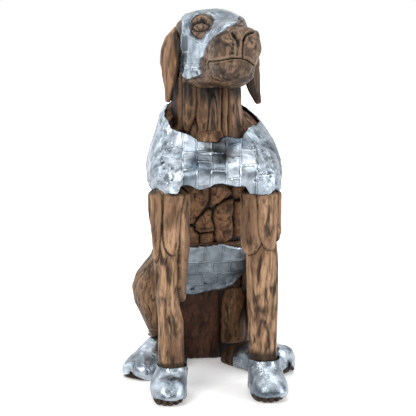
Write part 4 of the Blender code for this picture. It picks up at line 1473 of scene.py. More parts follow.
    def build(self) -> None:
        """The sheet with its tiles, folds, dents and nails, and the yoke."""
        skin = Skin(list(self.rings))
        columns, side_columns, rows = self.grid
        front = np.linspace(-self.front_share, self.front_share, columns)
        side = np.linspace(self.front_share, 1.0, side_columns)[1:]
        shares = np.concatenate([-side[::-1][1:], front, side])[None, :]
        point = np.stack([np.cos(np.pi * shares), np.sin(np.pi * shares), shares * 0], axis=-1)
        torn = 0.0014 * Noise.cloud(point, 0.045, self.edge_seed)
        torn = torn + 0.0014 * Noise.cloud(point, 0.012, self.edge_seed + 1)
        behind = ease(np.abs(shares), 0.3, 0.36)
        low = np.interp(shares, *zip(*self.hem)) + torn * (0.5 + 1.8 * behind)
        high = np.interp(shares, *zip(*self.neckline)) + torn[..., ::-1] * (0.3 + 0.8 * behind)
        levels = between(low, high, rows)
        turns, arcs = skin.shared(shares, levels)
        tones = {(column, row): tuple(values) for column, row, *values in self.tones}
        base = skin.at(turns, levels)
        flat = base.reshape(-1, 3)
        seen, _ = SIGHT.seen(flat)
        middle, base_row = self.zero
        seams = {number: [(base_row - row) * self.square for row in own]
                 for number, own in enumerate(self.seams)}
        tiling = Tiling([(column - middle) * self.square for column in self.columns], seams, (0.029, 0.044),
                        tones, self.tile_seed, bead=0.0008, tilt=0.0014)
        height, tone, seam = tiling.lay(*self.laid(shares[0], arcs, levels, seen.reshape(*arcs.shape, 2)))
        near = SIGHT.facing(flat, skin.normals(turns, levels).reshape(-1, 3)) > 0.0
        # dents: their middles are painted dark as shade and their rims painted lighter as a highlight
        pits = np.zeros(len(flat))
        for crater in self.craters:
            away = np.linalg.norm(seen - crater, axis=-1)
            pits += near * (bump(away - 2.0, 1.1) - 1.3 * bump(away, 1.5))
        pits = pits.reshape(arcs.shape)
        # a ring round each nail is painted dark as shade
        nail = np.min([np.linalg.norm(seen - square, axis=-1) for square in self.nail_squares], axis=0)
        ring = (near * bump(nail - 1.1, 0.8)).reshape(arcs.shape)
        beaten = 0.1 + 1.1 * bump(np.abs(arcs) - 0.118, 0.048) + 0.35 * bump(levels - low, 0.012)
        beaten = np.clip(beaten + 0.5 * ease(np.abs(arcs), 0.115, 0.15), 0, 1)
        seam = seam * (1 - 0.6 * beaten)
        folds = crumple(base, self.fold_seed)
        dents = Noise.cloud(base, 0.034, self.fold_seed + 1, 2)
        height = height + 0.0013 * beaten * folds + 0.0016 * dents + 0.0013 * pits
        outer = skin.at(turns, levels, self.gap + self.depth + height)
        piece = Workpiece.from_grid("shoulder_cape_sheet", outer, True)
        # brightness painted as reflection on the tiles, folds and dents
        tone = tone + beaten * (0.35 * folds + 0.35 * (0.75 - tone)) + 0.3 * pits
        piece.mark("tile", np.clip(tone, 0, 1.1))
        # painted shade in the folds and dents, at the hem and the neckline, and round the nails
        hollow = ease(-folds * beaten, 0.45, 0.95) * 0.6 + np.clip(-pits, 0, 1)
        edges = 0.8 * bump(levels - low, 0.0013) + 0.7 * bump(high - levels, 0.0012)
        piece.mark("scorch_and_shade", np.clip(seam + hollow + edges + 0.75 * ring, 0, 1))
        piece.mark("beaten", beaten)
        piece.thicken(self.depth)
        piece.finish(Finish.SHEET.material(), Slot.SHEET.value, "shoulder_cape")
        self.nails(skin)
        self.yoke(skin)

    def laid(self, shares: Array, arcs: Array, levels: Array, seen: Array) -> tuple[Array, Array]:
        """Where the tiles lie: as in the picture in front, and round the form past both shoulders.

        Args:
            shares: Share of half the girth, for each column of the grid.
            arcs: Distances round the form.
            levels: Levels in metres.
            seen: Squares of the picture.

        Returns:
            Places across and upward, in metres.
        """
        middle, base_row = self.zero
        across, along = (seen[..., 0] - middle) * self.square, (base_row - seen[..., 1]) * self.square
        girth = np.abs(arcs[:, -1]).mean()
        for sign, limit in ((-1, 0.235), (1, 0.215)):
            last = np.argmin(np.abs(shares - sign * limit))
            past = sign * shares > limit
            far = ease(sign * shares, limit, limit + 0.16)
            mean = across[:, last].mean() + (shares - shares[last]) * girth
            near = across[:, last, None] + arcs - arcs[:, last, None]
            across = np.where(past, near + (mean - near) * far, across)
            along = np.where(past, along[:, last, None] + levels - levels[:, last, None], along)
        return across, along

    def nails(self, skin: Skin) -> None:
        """Nail heads where the picture shows them, and a few behind.

        Args:
            skin: The cape's form.
        """
        out, far = 0.0034, 99  # where the nails stand on the sheet; more squares than any nail is away
        shares, levels = np.meshgrid(np.arange(-0.4, 0.4, 0.003), np.arange(0.43, 0.58, 0.0015))
        turns, _ = skin.shared(shares.ravel(), levels.ravel())
        places = skin.at(turns, levels.ravel(), out)
        facing = skin.normals(turns, levels.ravel())
        seen, _ = SIGHT.seen(places)
        hidden = SIGHT.facing(places, facing) < 0.05
        found = [np.argmin(np.linalg.norm(seen - nail, axis=-1) + far * hidden) for nail in self.nail_squares]
        behind = np.arange(self.nails_behind)
        back_shares = np.where(behind % 2, 0.62, -0.62) + 0.25 * Noise.pick(behind, self.nail_seed)
        back_levels = 0.495 + 0.05 * Noise.pick(behind, self.nail_seed + 1)
        back_turns, _ = skin.shared(back_shares, back_levels)
        places = np.concatenate([places[found], skin.at(back_turns, back_levels, out)])
        facing = np.concatenate([facing[found], skin.normals(back_turns, back_levels)])
        Nails().drive("shoulder_nails", places, facing)

    def yoke(self, skin: Skin) -> None:
        """The wood under the cape, seen at the neck's foot.

        Args:
            skin: The cape's form.
        """
        foot, columns, rows, thickness = 0.446, 181, 34, 0.004
        shares = np.linspace(-1, 1, columns)[None, 1:]
        top = 0.5715 + 0.0265 * ease(np.abs(shares + 0.02), 0.29, 0.4)
        levels = between(foot, top, rows)
        turns, _ = skin.shared(shares, levels)
        sunk = 0.0042 + 0.005 * ease(top - levels, 0.012, 0.0)
        piece = Workpiece.from_grid("shoulders_wood", skin.at(turns, levels, -sunk), True)
        # painted dark as shade at its foot and its top, where the cape and the neck slabs shadow it
        rim = ease(-levels, -0.47, -0.458) + ease(levels - top, -0.008, -0.001)
        Chisel(Finish.SEAT, Slot.DARK_WOOD).carve(piece, self.yoke_seed, np.clip(0.9 * rim, 0, 1).ravel())
        piece.thicken(thickness)
        piece.finish(Finish.CHEST.material(), Slot.DARK_WOOD.value, "shoulders")


@dataclass(frozen=True)
class Cut:
    """One slab or sheet of a skin: its outline as places round the form and levels, in metres."""

    name: str
    outline: tuple[Pair, ...]
    seed: int
    lift: float = 0.0
    extra: bool = False  # True if it stands for no CAD node

    @property
    def nodes(self) -> tuple[str, ...]:
        """The CAD node that it stands for."""
        return () if self.extra else (self.name,)


@dataclass
class Slabs:
    """Slabs with their own outlines, laid on a skin over what lies below."""

    skin: Skin
    chisel: Chisel
    cuts: tuple[Cut, ...]
    pitch: float = 0.0019  # width of the faces
    crown: float = 0.0042  # how far the middle stands proud
    crown_width: float = 0.017
    edge: float = 0.0034  # how far the edge is rounded down
    edge_width: float = 0.0055
    drop: float = 0.015  # depth of the side walls
    thickness: float = 0.003
    rim: float = 0.008  # width of the dark edge
    grow: float = 0.0  # how far the outline is set outward
    tuck: float = 0.0  # how far the top goes under the cape or the head
    hem: float = 0.43  # level where the top is painted dark, as the shade under the cape or the jaw
    # how far below the hem that painted shade fades in
    fade: float = 0.007
    shade: float = 9.0  # distance to the dog's right from which a slab is painted dark, as shade

    def patch(self, cut: Cut, margin: float = 0.006) -> tuple[Array, Array, Array]:
        """A grid over a slab's outline.

        Args:
            cut: The slab.
            margin: How far the grid reaches past the outline.

        Returns:
            Places round the form, levels, and depths inside the outline.
        """
        corners = np.array(cut.outline)
        (left, low), (right, high) = corners.min(axis=0) - margin, corners.max(axis=0) + margin
        arcs = np.arange(left, right, self.pitch)[None, :]
        levels = np.arange(low, high, self.pitch)[:, None]
        arcs, levels = np.broadcast_arrays(arcs, levels)
        levels = np.clip(levels, self.skin.low, self.skin.high)
        flat = np.stack([arcs, levels, arcs * 0 + 0.1 * cut.seed], axis=-1)
        wobble = np.stack([Noise.cloud(flat, 0.014, cut.seed + k) for k in (0, 1)], axis=-1)
        return arcs, levels, polygon_depth(flat[..., :2] + 0.0013 * wobble, cut.outline) + self.grow

    def build(self) -> None:
        """Every slab of the set."""
        for cut in self.cuts:
            arcs, levels, depth = self.patch(cut)
            lift = cut.lift + self.crown * ease(depth, 0, self.crown_width)
            lift = lift - self.edge * (1 - ease(depth, 0, self.edge_width))
            lift = lift - self.drop * ease(-depth, -0.0002, 0.0017)
            lift = lift - self.tuck * ease(levels, self.hem - 0.006, self.hem + 0.01)
            grid = self.skin.at(self.skin.wrapped(arcs, levels), levels, lift)
            piece = Workpiece.from_grid(f"{cut.name}_wood", grid, False)
            rim = 0.8 * (1 - ease(depth, -0.001, self.rim))
            # the top under the cape or the jaw, and the far side, are painted dark as shade
            if self.tuck:
                rim = np.maximum(rim, 0.95 * ease(levels, self.hem - self.fade, self.hem - 0.001))
            rim = np.maximum(rim, 0.92 * ease(-arcs, self.shade, self.shade + 0.01))
            piece.mark("rim", rim)
            piece.trim((depth > -0.0035).ravel())
            self.chisel.carve(piece, cut.seed, piece.marked("rim"))
            piece.thicken(self.thickness)
            self.chisel.dress(piece, *cut.nodes)


def trunk_skin() -> Skin:
    """Outer skin of the trunk."""
    return Skin([
        (0.0, 0.004, 0.256, 0.099, 0.062, 3.2, 0), (0.06, 0.004, 0.254, 0.107, 0.07, 3.4, 0),
        (0.12, 0.004, 0.247, 0.109, 0.078, 3.4, 0), (0.18, 0.004, 0.231, 0.109, 0.085, 3.3, 0),
        (0.24, 0.004, 0.201, 0.109, 0.094, 3.1, 0), (0.3, 0.003, 0.161, 0.109, 0.101, 2.9, 0),
        (0.36, 0.002, 0.119, 0.11, 0.107, 2.7, 0), (0.44, 0.002, 0.064, 0.112, 0.112, 2.5, 0),
    ], flat=True)


def neck_skin() -> Skin:
    """Outer skin of the neck."""
    return Skin([
        (0.55, -0.002, 0.02, 0.09, 0.104, 2.1, 32), (0.58, -0.004, 0.022, 0.073, 0.079, 2.1, 28),
        (0.605, -0.008, 0.02, 0.071, 0.075, 2.1, 20), (0.64, -0.0095, 0.02, 0.0705, 0.069, 2.1, 8),
        (0.665, -0.009, 0.021, 0.068, 0.061, 2.1, 2), (0.7, -0.006, 0.023, 0.056, 0.05, 2.1, -4),
    ], flat=True)


def chest_slabs() -> Slabs:
    """The eight slabs of the chest, between the forelegs."""
    return Slabs(trunk_skin(), Chisel(Finish.CHEST, crack_share=0.12), (
        Cut("chest_slab_right", (
            (-0.08, 0.437), (-0.011, 0.437), (-0.0092, 0.406), (-0.0145, 0.389),
            (-0.0217, 0.376), (-0.0317, 0.36), (-0.0383, 0.348), (-0.078, 0.346)), 301),
        Cut("chest_slab_upper", (
            (-0.007, 0.437), (0.0264, 0.438), (0.038, 0.428), (0.0413, 0.419),
            (0.0291, 0.408), (0.0116, 0.395), (-0.0019, 0.387), (-0.006, 0.391),
            (-0.0034, 0.411)), 303),
        Cut("chest_slab_corner", (
            (0.044, 0.437), (0.078, 0.437), (0.078, 0.404), (0.0555, 0.408), (0.05, 0.405),
            (0.0457, 0.416)), 305),
        Cut("chest_slab_mottled", (
            (-0.0087, 0.384), (-0.001, 0.382), (0.0015, 0.374), (0.0004, 0.361),
            (0.0076, 0.345), (0.009, 0.329), (-0.0213, 0.325), (-0.034, 0.333),
            (-0.0325, 0.352), (-0.0221, 0.367)), 307),
        Cut("chest_slab_large", (
            (0.01, 0.39), (0.0276, 0.403), (0.045, 0.408), (0.0487, 0.38), (0.0461, 0.364),
            (0.0518, 0.335), (0.0505, 0.311), (0.039, 0.299), (0.0195, 0.299),
            (0.0123, 0.311), (0.0122, 0.337), (0.0043, 0.36), (0.0053, 0.378)), 309),
        Cut("chest_strip", (
            (0.0514, 0.4), (0.078, 0.4), (0.078, 0.312), (0.0605, 0.312), (0.0562, 0.336),
            (0.0533, 0.365)), 311),
        Cut("chest_slab_foot", (
            (-0.078, 0.342), (-0.04, 0.342), (-0.036, 0.329), (-0.024, 0.322),
            (-0.0235, 0.2965), (-0.078, 0.2965)), 313, extra=True),
        Cut("chest_slab_wedge", (
            (-0.0206, 0.321), (0.0066, 0.326), (0.0094, 0.312), (0.0066, 0.298),
            (-0.02, 0.2965)), 315, extra=True),
    ))


def seat_slabs() -> tuple[Slabs, Slabs]:
    """The dark slab and the board between the feet."""
    slab = Slabs(trunk_skin(), Chisel(Finish.SEAT, Slot.DARK_WOOD, crack_share=0.15), (
        Cut("seat_slab_front", (
            (-0.096, 0.18), (-0.0518, 0.179), (0.0325, 0.182), (0.0372, 0.006),
            (0.0298, 0.0005), (0.01, 0.002), (-0.0421, 0.001), (-0.051, -0.001),
            (-0.09, -0.001), (-0.098, 0.1)), 361),
    ), pitch=0.0024, crown_width=0.022, rim=0.01)
    board = Slabs(trunk_skin(), Chisel(Finish.BOARD, Slot.DARK_WOOD, crack_share=0.15), (
        Cut("seat_board", (
            (0.042, 0.158), (0.0474, 0.174), (0.0612, 0.181), (0.088, 0.177), (0.101, 0.16),
            (0.1095, 0.049), (0.104, 0.033), (0.04, 0.038), (0.0387, 0.132)), 363, 0.001),
    ), crown=0.006, crown_width=0.018, rim=0.005)
    return slab, board


def neck_slabs() -> Slabs:
    """The upright slabs at the front and sides of the neck."""
    return Slabs(neck_skin(), Chisel(Finish.NECK, Slot.DARK_WOOD, crack_share=0.22), (
        Cut("neck_slab_side_right", (
            (-0.105, 0.694), (-0.06, 0.694), (-0.0635, 0.646), (-0.064, 0.619),
            (-0.069, 0.597), (-0.077, 0.58), (-0.086, 0.572), (-0.112, 0.56), (-0.13, 0.58),
            (-0.117, 0.64)), 331),
        Cut("neck_slab_leaf", (
            (-0.056, 0.694), (-0.0262, 0.694), (-0.028, 0.645), (-0.028, 0.625),
            (-0.0312, 0.605), (-0.043, 0.59), (-0.055, 0.577), (-0.0655, 0.577),
            (-0.069, 0.591), (-0.062, 0.615), (-0.0594, 0.647)), 333, 0.0008),
        Cut("neck_slab_sliver", (
            (-0.049, 0.577), (-0.042, 0.589), (-0.0345, 0.597), (-0.033, 0.586),
            (-0.032, 0.566), (-0.044, 0.562)), 335, extra=True),
        Cut("neck_slab_front", (
            (-0.0235, 0.694), (0.0265, 0.694), (0.029, 0.645), (0.0288, 0.616),
            (0.0245, 0.591), (0.022, 0.57), (-0.0272, 0.57), (-0.029, 0.602),
            (-0.0252, 0.625), (-0.0247, 0.645)), 337, 0.0006),
        Cut("neck_slab_narrow", (
            (0.029, 0.694), (0.044, 0.694), (0.0462, 0.644), (0.0454, 0.611),
            (0.0405, 0.59), (0.039, 0.562), (0.0245, 0.562), (0.0275, 0.588),
            (0.0304, 0.602), (0.0326, 0.619), (0.0326, 0.645)), 339),
        Cut("neck_slab_side_left", (
            (0.048, 0.694), (0.098, 0.694), (0.115, 0.64), (0.125, 0.58), (0.108, 0.556),
            (0.043, 0.56), (0.044, 0.585), (0.048, 0.602), (0.0494, 0.623), (0.0496, 0.644)), 341),
    # the top under the jaw and the side in the ear's shadow are painted dark as shade
    ), pitch=0.0017, crown=0.004, edge=0.0034, tuck=0.0004, hem=0.64, fade=0.022, shade=0.072)


def knob() -> Slabs:
    """The round piece at the foot of the neck, in front."""
    return Slabs(neck_skin(), Chisel(Finish.EAR, lump=0.0008, crack_share=0.05), (
        Cut("throat_knob", (
            (-0.032, 0.575), (-0.028, 0.583), (-0.018, 0.59), (-0.002, 0.5935),
            (0.014, 0.59), (0.024, 0.584), (0.027, 0.577), (0.024, 0.566), (0.006, 0.56),
            (-0.016, 0.56), (-0.029, 0.566)), 343, 0.0056),
    ), pitch=0.0012, crown=0.007, crown_width=0.013, edge=0.004, rim=0.0066)


@dataclass
class Foreleg:
    """One foreleg: the log and the strips laid on its upper half."""

    side: Side
    foot: float  # its middle across, on the floor and at the top
    edges: tuple[Triple, ...]  # row of the picture, squares that the left and right edge move
    top: float = 0.096
    strip_lift: float = 0.0072  # how far the strips stand out from the log
    grow: Pair = (0.0004, 0.001)  # how far the strips' outlines are set outward, right and left
    scorched: tuple[Pair, Pair] = ((0.08, 0.074), (0.104, 0.088))  # levels where the log gets dark
    seed: int = 421

    @property
    def skin(self) -> Skin:
        """The log's form."""
        foot, top = self.foot * self.side.value, self.top * self.side.value
        return Skin([
            (0.06, foot, -0.082, 0.0275, 0.028, 2.2, 0), (0.085, foot, -0.081, 0.0265, 0.027, 2.2, 0),
            (0.15, foot * 0.8 + top * 0.2, -0.08, 0.027, 0.028, 2.2, 0),
            (0.24, foot * 0.4 + top * 0.6, -0.079, 0.0285, 0.03, 2.2, 0),
            (0.3, top, -0.077, 0.031, 0.031, 2.2, 0), (0.44, top, -0.074, 0.032, 0.033, 2.2, 0),
        ], flat=True)

    def cuts(self) -> tuple[Cut, ...]:
        """Outlines of the strips."""
        if self.side is Side.RIGHT:
            return (
                Cut("foreleg_outer_strip_right", (
                    (-0.062, 0.44), (-0.0193, 0.44), (-0.0155, 0.425), (-0.0148, 0.399),
                    (-0.016, 0.368), (-0.0168, 0.347), (-0.02, 0.326), (-0.0207, 0.31),
                    (-0.0242, 0.295), (-0.027, 0.2885), (-0.033, 0.29), (-0.0354, 0.309),
                    (-0.0385, 0.334), (-0.0434, 0.364), (-0.056, 0.393)), 401),
                Cut("foreleg_front_slab_right", (
                    (-0.0102, 0.44), (-0.0109, 0.409), (-0.0116, 0.388), (-0.0116, 0.358),
                    (-0.0116, 0.337), (-0.0095, 0.321), (-0.0039, 0.31), (0.0031, 0.304),
                    (0.008, 0.305), (0.0143, 0.316), (0.0164, 0.326), (0.0171, 0.344),
                    (0.0185, 0.367), (0.0192, 0.387), (0.023, 0.405), (0.0279, 0.425),
                    (0.0305, 0.44)), 403, 0.0012),
                Cut("foreleg_inner_strip_right", (
                    (0.032, 0.44), (0.0293, 0.425), (0.0246, 0.405), (0.0208, 0.387),
                    (0.0201, 0.367), (0.0187, 0.344), (0.0195, 0.315), (0.0215, 0.273),
                    (0.0234, 0.231), (0.0332, 0.207), (0.042, 0.202), (0.06, 0.22),
                    (0.066, 0.3), (0.066, 0.44)), 405, 0.0022),
            )
        return (
            Cut("foreleg_front_slab_left", (
                (-0.013, 0.44), (-0.0109, 0.41), (-0.0088, 0.396), (-0.0095, 0.365),
                (-0.0081, 0.344), (-0.0039, 0.328), (0.0003, 0.316), (0.0031, 0.314),
                (0.0143, 0.313), (0.0199, 0.326), (0.0255, 0.342), (0.0304, 0.368),
                (0.0311, 0.393), (0.0311, 0.44)), 407, 0.0012),
            Cut("foreleg_outer_strip_left", (
                (0.033, 0.44), (0.0328, 0.393), (0.032, 0.368), (0.0275, 0.343),
                (0.024, 0.329), (0.0318, 0.333), (0.0437, 0.35), (0.052, 0.38),
                (0.056, 0.44)), 409, 0.0015),
            Cut("foreleg_inner_strip_left", (
                (-0.0145, 0.44), (-0.0124, 0.41), (-0.0103, 0.396), (-0.011, 0.365),
                (-0.0096, 0.344), (-0.0055, 0.329), (-0.01, 0.318), (-0.018, 0.305),
                (-0.03, 0.3), (-0.045, 0.308), (-0.06, 0.33), (-0.066, 0.37),
                (-0.066, 0.44)), 411),
        )

    def fit(self, piece: Workpiece, skin: Skin) -> None:
        """Moves the piece across the picture, so that its edges lie where they are seen.

        Args:
            piece: The log or a strip.
            skin: The log's form.
        """
        points = piece.points
        ring = skin.values(points[:, 2])
        ends = []
        for sign in (-1, 1):
            end = points.copy()
            end[:, 0], end[:, 1] = ORIGIN.x + ring[:, 0] + sign * ring[:, 2], ORIGIN.y + ring[:, 1]
            ends.append(SIGHT.seen(end)[0][:, 0])
        seen, scale = SIGHT.seen(points)
        rows, left, right = np.array(self.edges).T
        share = np.clip((seen[:, 0] - ends[0]) / (ends[1] - ends[0]), -0.2, 1.2)
        left, right = np.interp(seen[:, 1], rows, left), np.interp(seen[:, 1], rows, right)
        across = np.array(SIGHT.turned)[:, 0]
        piece.move(points + (scale * (left + share * (right - left)))[:, None] * across)

    def build(self) -> None:
        """The log and its strips."""
        skin, chisel = self.skin, Chisel(Finish.LEG, lump=0.0015, crack_share=0.1, voxel=0.0027)
        for cut in self.cuts():
            lifted = replace(cut, lift=cut.lift + self.strip_lift)
            # the strips' tops under the cape are painted dark as its shade
            Slabs(skin, chisel, (lifted,), crown=0.003, crown_width=0.012, edge=0.002, drop=0.013,
                  rim=0.0034, grow=self.grow[self.side is Side.LEFT], tuck=0.009).build()
            self.fit(Workpiece(bpy.data.objects[f"{cut.name}_wood"]), skin)
        node = f"foreleg_{self.side.word}"
        log = chisel.rough(node)
        points = log.points
        middle = skin.values(points[:, 2])
        across, ahead = (points[:, 0] - ORIGIN.x) - middle[:, 0], middle[:, 1] - (points[:, 1] - ORIGIN.y)
        arc = np.arctan2(across, ahead) * (middle[:, 2] + middle[:, 3]) / 2
        place = np.stack([arc, points[:, 2]], axis=-1)
        depths = [polygon_depth(place, cut.outline) for cut in self.cuts()]
        # the log is painted dark under and around the strips, as their shade
        strip_shade = np.max([ease(depth, -0.004, -0.001) for depth in depths], axis=0)
        start, end = self.scorched[self.side is Side.LEFT]
        base = 0.85 * ease(-points[:, 2], -start, -end)
        self.fit(log, skin)
        chisel.carve(log, self.seed + self.side.value, np.clip(strip_shade + base, 0, 1))
        chisel.dress(log, node)


@dataclass
class BellyPlate:
    """The grey sheet on the belly, laid like bricks."""

    outline: tuple = (
        (-0.0435, 0.287), (-0.024, 0.289), (-0.0098, 0.289), (0.0127, 0.293), (0.0253, 0.2955),
        (0.0379, 0.2905), (0.0588, 0.2845), (0.0784, 0.282), (0.092, 0.233), (0.0759, 0.211),
        (0.0588, 0.189), (0.0306, 0.18), (-0.0026, 0.173), (-0.0343, 0.165), (-0.048, 0.169),
        (-0.06, 0.176), (-0.06, 0.287),
    )
    columns: tuple[float, ...] = (0.155, 0.192, 0.221, 0.251, 0.32)  # levels of the seams that run across
    seams: tuple[Triple, ...] = (  # upright seams of each course
        (-0.03, 0.012, 0.045), (-0.0094, 0.0202, 0.0553), (-0.0248, 0.011, 0.0481), (-0.0084, 0.0306, 0.07),
    )
    lift: float = 0.0088
    thickness: float = 0.0016
    seed: int = 351

    def build(self) -> None:
        """The plate with its bricks and dents."""
        cut = Cut("belly_plate", self.outline, self.seed)
        slabs = Slabs(trunk_skin(), Chisel(Finish.SEAT), (cut,), pitch=0.0015)
        arcs, levels, depth = slabs.patch(cut, 0.003)
        seams = {number: list(own) for number, own in enumerate(self.seams)}
        tiling = Tiling(list(self.columns), seams, (0.03, 0.036), {}, self.seed + 2, bead=0.0007, tilt=0.0005)
        height, tone, seam = tiling.lay(levels, arcs)
        turns = slabs.skin.wrapped(arcs, levels)
        folds = crumple(slabs.skin.at(turns, levels), self.seed + 4)
        slanted = levels - 0.185 - 0.35 * np.clip(arcs - 0.03, 0, 1)
        beaten = 0.15 + 0.7 * bump(slanted, 0.03) + 0.5 * bump(depth, 0.007)
        lift = self.lift + height + 0.0008 * beaten * folds - 0.003 * ease(-depth, -0.0008, 0.0006)
        piece = Workpiece.from_grid("belly_plate_sheet", slabs.skin.at(turns, levels, lift), False)
        # brightness painted as reflection on the bricks and folds; painted shade in the seams and fold
        # hollows
        piece.mark("tile", np.clip(0.08 + 0.85 * tone + 0.3 * beaten * folds, 0, 1))
        piece.mark("scorch_and_shade", np.clip(0.8 * seam + 0.7 * ease(-folds * beaten, 0.3, 0.8), 0, 1))
        piece.mark("beaten", np.clip(0.5 * beaten, 0, 1))
        piece.trim((depth > -0.0006).ravel())
        piece.thicken(self.thickness)
        piece.finish(Finish.PLATE.material(), Slot.SHEET.value, "belly_plate")


@dataclass
class Covers:
    """The beaten covers of the four paws."""

    front_feet: tuple[tuple[float, ...], ...] = (  # middle of sole and of top, half width of both, top edge
        (-0.099, -0.0912, 0.0322, 0.0262, 0.07), (0.1085, 0.104, 0.0345, 0.028, 0.079))
    out: float = 0.0046  # how far they stand off the paws
    thickness: float = 0.0014
    wrap: float = 114.0  # turn to which a hind cover reaches on each side
    tone: float = 0.5
    right_hind_tone: float = 0.72
    front_seed: int = 81
    hind_seed: int = 91
    front_beat_seed: int = 83
    hind_beat_seed: int = 95
    side_step: int = 20  # between the beating seeds of the two sides

    def dress(self, piece: Workpiece, depth: Array, seed: int, node: str) -> None:
        """Beats a cover and gives it its finish.

        Args:
            piece: The smooth cover.
            depth: Distance of each vertex from the nearest free edge.
            seed: Which noise.
            node: The CAD node that it stands for.
        """
        points = piece.points
        folds = crumple(points, seed)
        facets = Noise.at(points, 0.02, seed + 7)
        beaten = 0.25 + 0.6 * ease(Noise.at(points, 0.024, seed + 9), -0.1, 0.5)
        lines = Noise.at(points, 0.022, seed + 11), Noise.at(points, 0.026, seed + 12)
        creases = np.minimum(*np.abs(lines))
        crease = bump(creases, 0.045)
        piece.swell(0.0016 * facets + 0.0009 * beaten * folds + 0.0006 * crease)
        bright = self.right_hind_tone if node == "hind_foot_cover_right" else self.tone
        # the metal's brightness is painted reflection on the facets, folds and creases
        piece.mark("tile", np.clip(bright + 0.45 * facets + 0.25 * beaten * folds + 0.2 * crease, 0, 1))
        # painted shade in the folds, along the free edges and beside the creases
        dark = 0.8 * ease(-folds * beaten, 0.3, 0.85) + 0.6 * bump(depth, 0.0016)
        piece.mark("scorch_and_shade", np.clip(dark + 0.55 * bump(creases - 0.055, 0.03), 0, 1))
        piece.mark("beaten", beaten)
        piece.thicken(self.thickness)
        piece.finish(Finish.SHEET.material(), Slot.SHEET.value, node)

    def front(self, side: Side) -> None:
        """Sleeve over a front paw, with a ragged lower edge.

        Args:
            side: Which paw.
        """
        middle, foot, wide, narrow, top = self.front_feet[side is Side.LEFT]
        skin = Skin([
            (0.0, middle, -0.101, wide - 0.002, 0.05, 2.9, 0),
            (0.01, middle, -0.104, wide, 0.056, 2.9, 0),
            (0.032, middle, -0.103, wide, 0.053, 2.8, 0),
            (0.048, (middle + foot) / 2, -0.095, (wide + narrow) / 2, 0.044, 2.6, 0),
            (top - 0.012, foot, -0.086, narrow + 0.001, 0.033, 2.4, 0),
            (top, foot, -0.082, narrow, 0.0285, 2.3, 0),
        ], flat=True)
        columns, rows = 141, 46
        shares = np.linspace(-1, 1, columns)[None, 1:]
        round_ = np.stack([np.cos(np.pi * shares), np.sin(np.pi * shares), shares * 0 + side.value], axis=-1)
        ragged = Noise.cloud(round_, 0.42, self.front_seed + side.value, 3)
        low = 0.015 + 0.0075 * ragged
        high = top - 0.0015 + 0.0012 * ragged[..., ::-1]
        levels = between(low, high, rows)
        turns, _ = skin.shared(shares, levels)
        node = f"front_paw_cover_{side.word}"
        piece = Workpiece.from_grid(f"{node}_sheet", skin.at(turns, levels, self.out), True)
        depth = np.minimum(levels - low, high - levels)
        self.dress(piece, depth.ravel(), self.front_beat_seed + self.side_step * side.value, node)

    def hind(self, side: Side) -> None:
        """Cover over a hind foot, open underneath.

        Args:
            side: Which foot.
        """
        foot, columns, rows = HindFoot(side), 100, 76
        turns = np.linspace(-self.wrap, self.wrap, columns)[None, :]
        place = np.stack([turns / 60, turns * 0 + side.value, turns * 0], axis=-1)
        ragged = Noise.cloud(place, 0.5, self.hind_seed + side.value, 3)
        low, high = 0.056 + 0.003 * ragged, 0.1844
        levels = between(low, high, rows)
        along = np.linspace(0, 1, rows)[:, None]
        way = np.stack([along * 9, along * 0, along * 0], axis=-1)
        edge = 1 + 0.035 * Noise.cloud(way, 1.0, self.hind_seed + 2, 2)
        node = f"hind_foot_cover_{side.word}"
        piece = Workpiece.from_grid(f"{node}_sheet", foot.skin.at(turns * edge, levels, self.out), False)
        foot.fit(piece)
        metres = 0.0006  # round the foot, to a degree
        depth = np.minimum(np.minimum(levels - low, high - levels), (self.wrap - np.abs(turns)) * metres)
        self.dress(piece, depth.ravel(), self.hind_beat_seed + self.side_step * side.value, node)

    def build(self) -> None:
        """All four covers."""
        for side in Side:
            self.front(side)
            self.hind(side)


# Head

@dataclass(frozen=True)
class Stroke:
    """A line carved or raised along a path of the drawing; widths in squares, lift in millimetres."""

    path: tuple[Pair, ...]
    reach: float
    lift: float
    dark: float = 0.0
    closed: bool = False

    def work(self, seen: Array) -> tuple[Array, Array]:
        """Heights in millimetres and darkness at places of the drawing."""
        share = bump(line_distance(seen, self.path, self.closed), self.reach)
        return self.lift * share, self.dark * share


@dataclass(frozen=True)
class Dab:
    """A round swelling or hollow; places and radii in squares, lift in millimetres."""

    middle: Pair
    radii: Pair
    lift: float
    dark: float = 0.0

    def work(self, seen: Array) -> tuple[Array, Array]:
        """Heights in millimetres and darkness at places of the drawing."""
        share = bump(np.linalg.norm((seen - self.middle) / self.radii, axis=-1), 1.0)
        return self.lift * share, self.dark * share


@dataclass(frozen=True)
class Pad:
    """A swelling with an outline; soft is the width of its slope in squares."""

    outline: tuple[Pair, ...]
    soft: float
    lift: float
    dark: float = 0.0

    def work(self, seen: Array) -> tuple[Array, Array]:
        """Heights in millimetres and darkness at places of the drawing."""
        share = ease(polygon_depth(seen, self.outline), -0.15 * self.soft, self.soft)
        return self.lift * share, self.dark * share


@dataclass(frozen=True)
class Push:
    """A part of the form pushed across and down the drawing, in squares."""

    middle: Pair
    reach: float
    shift: Pair


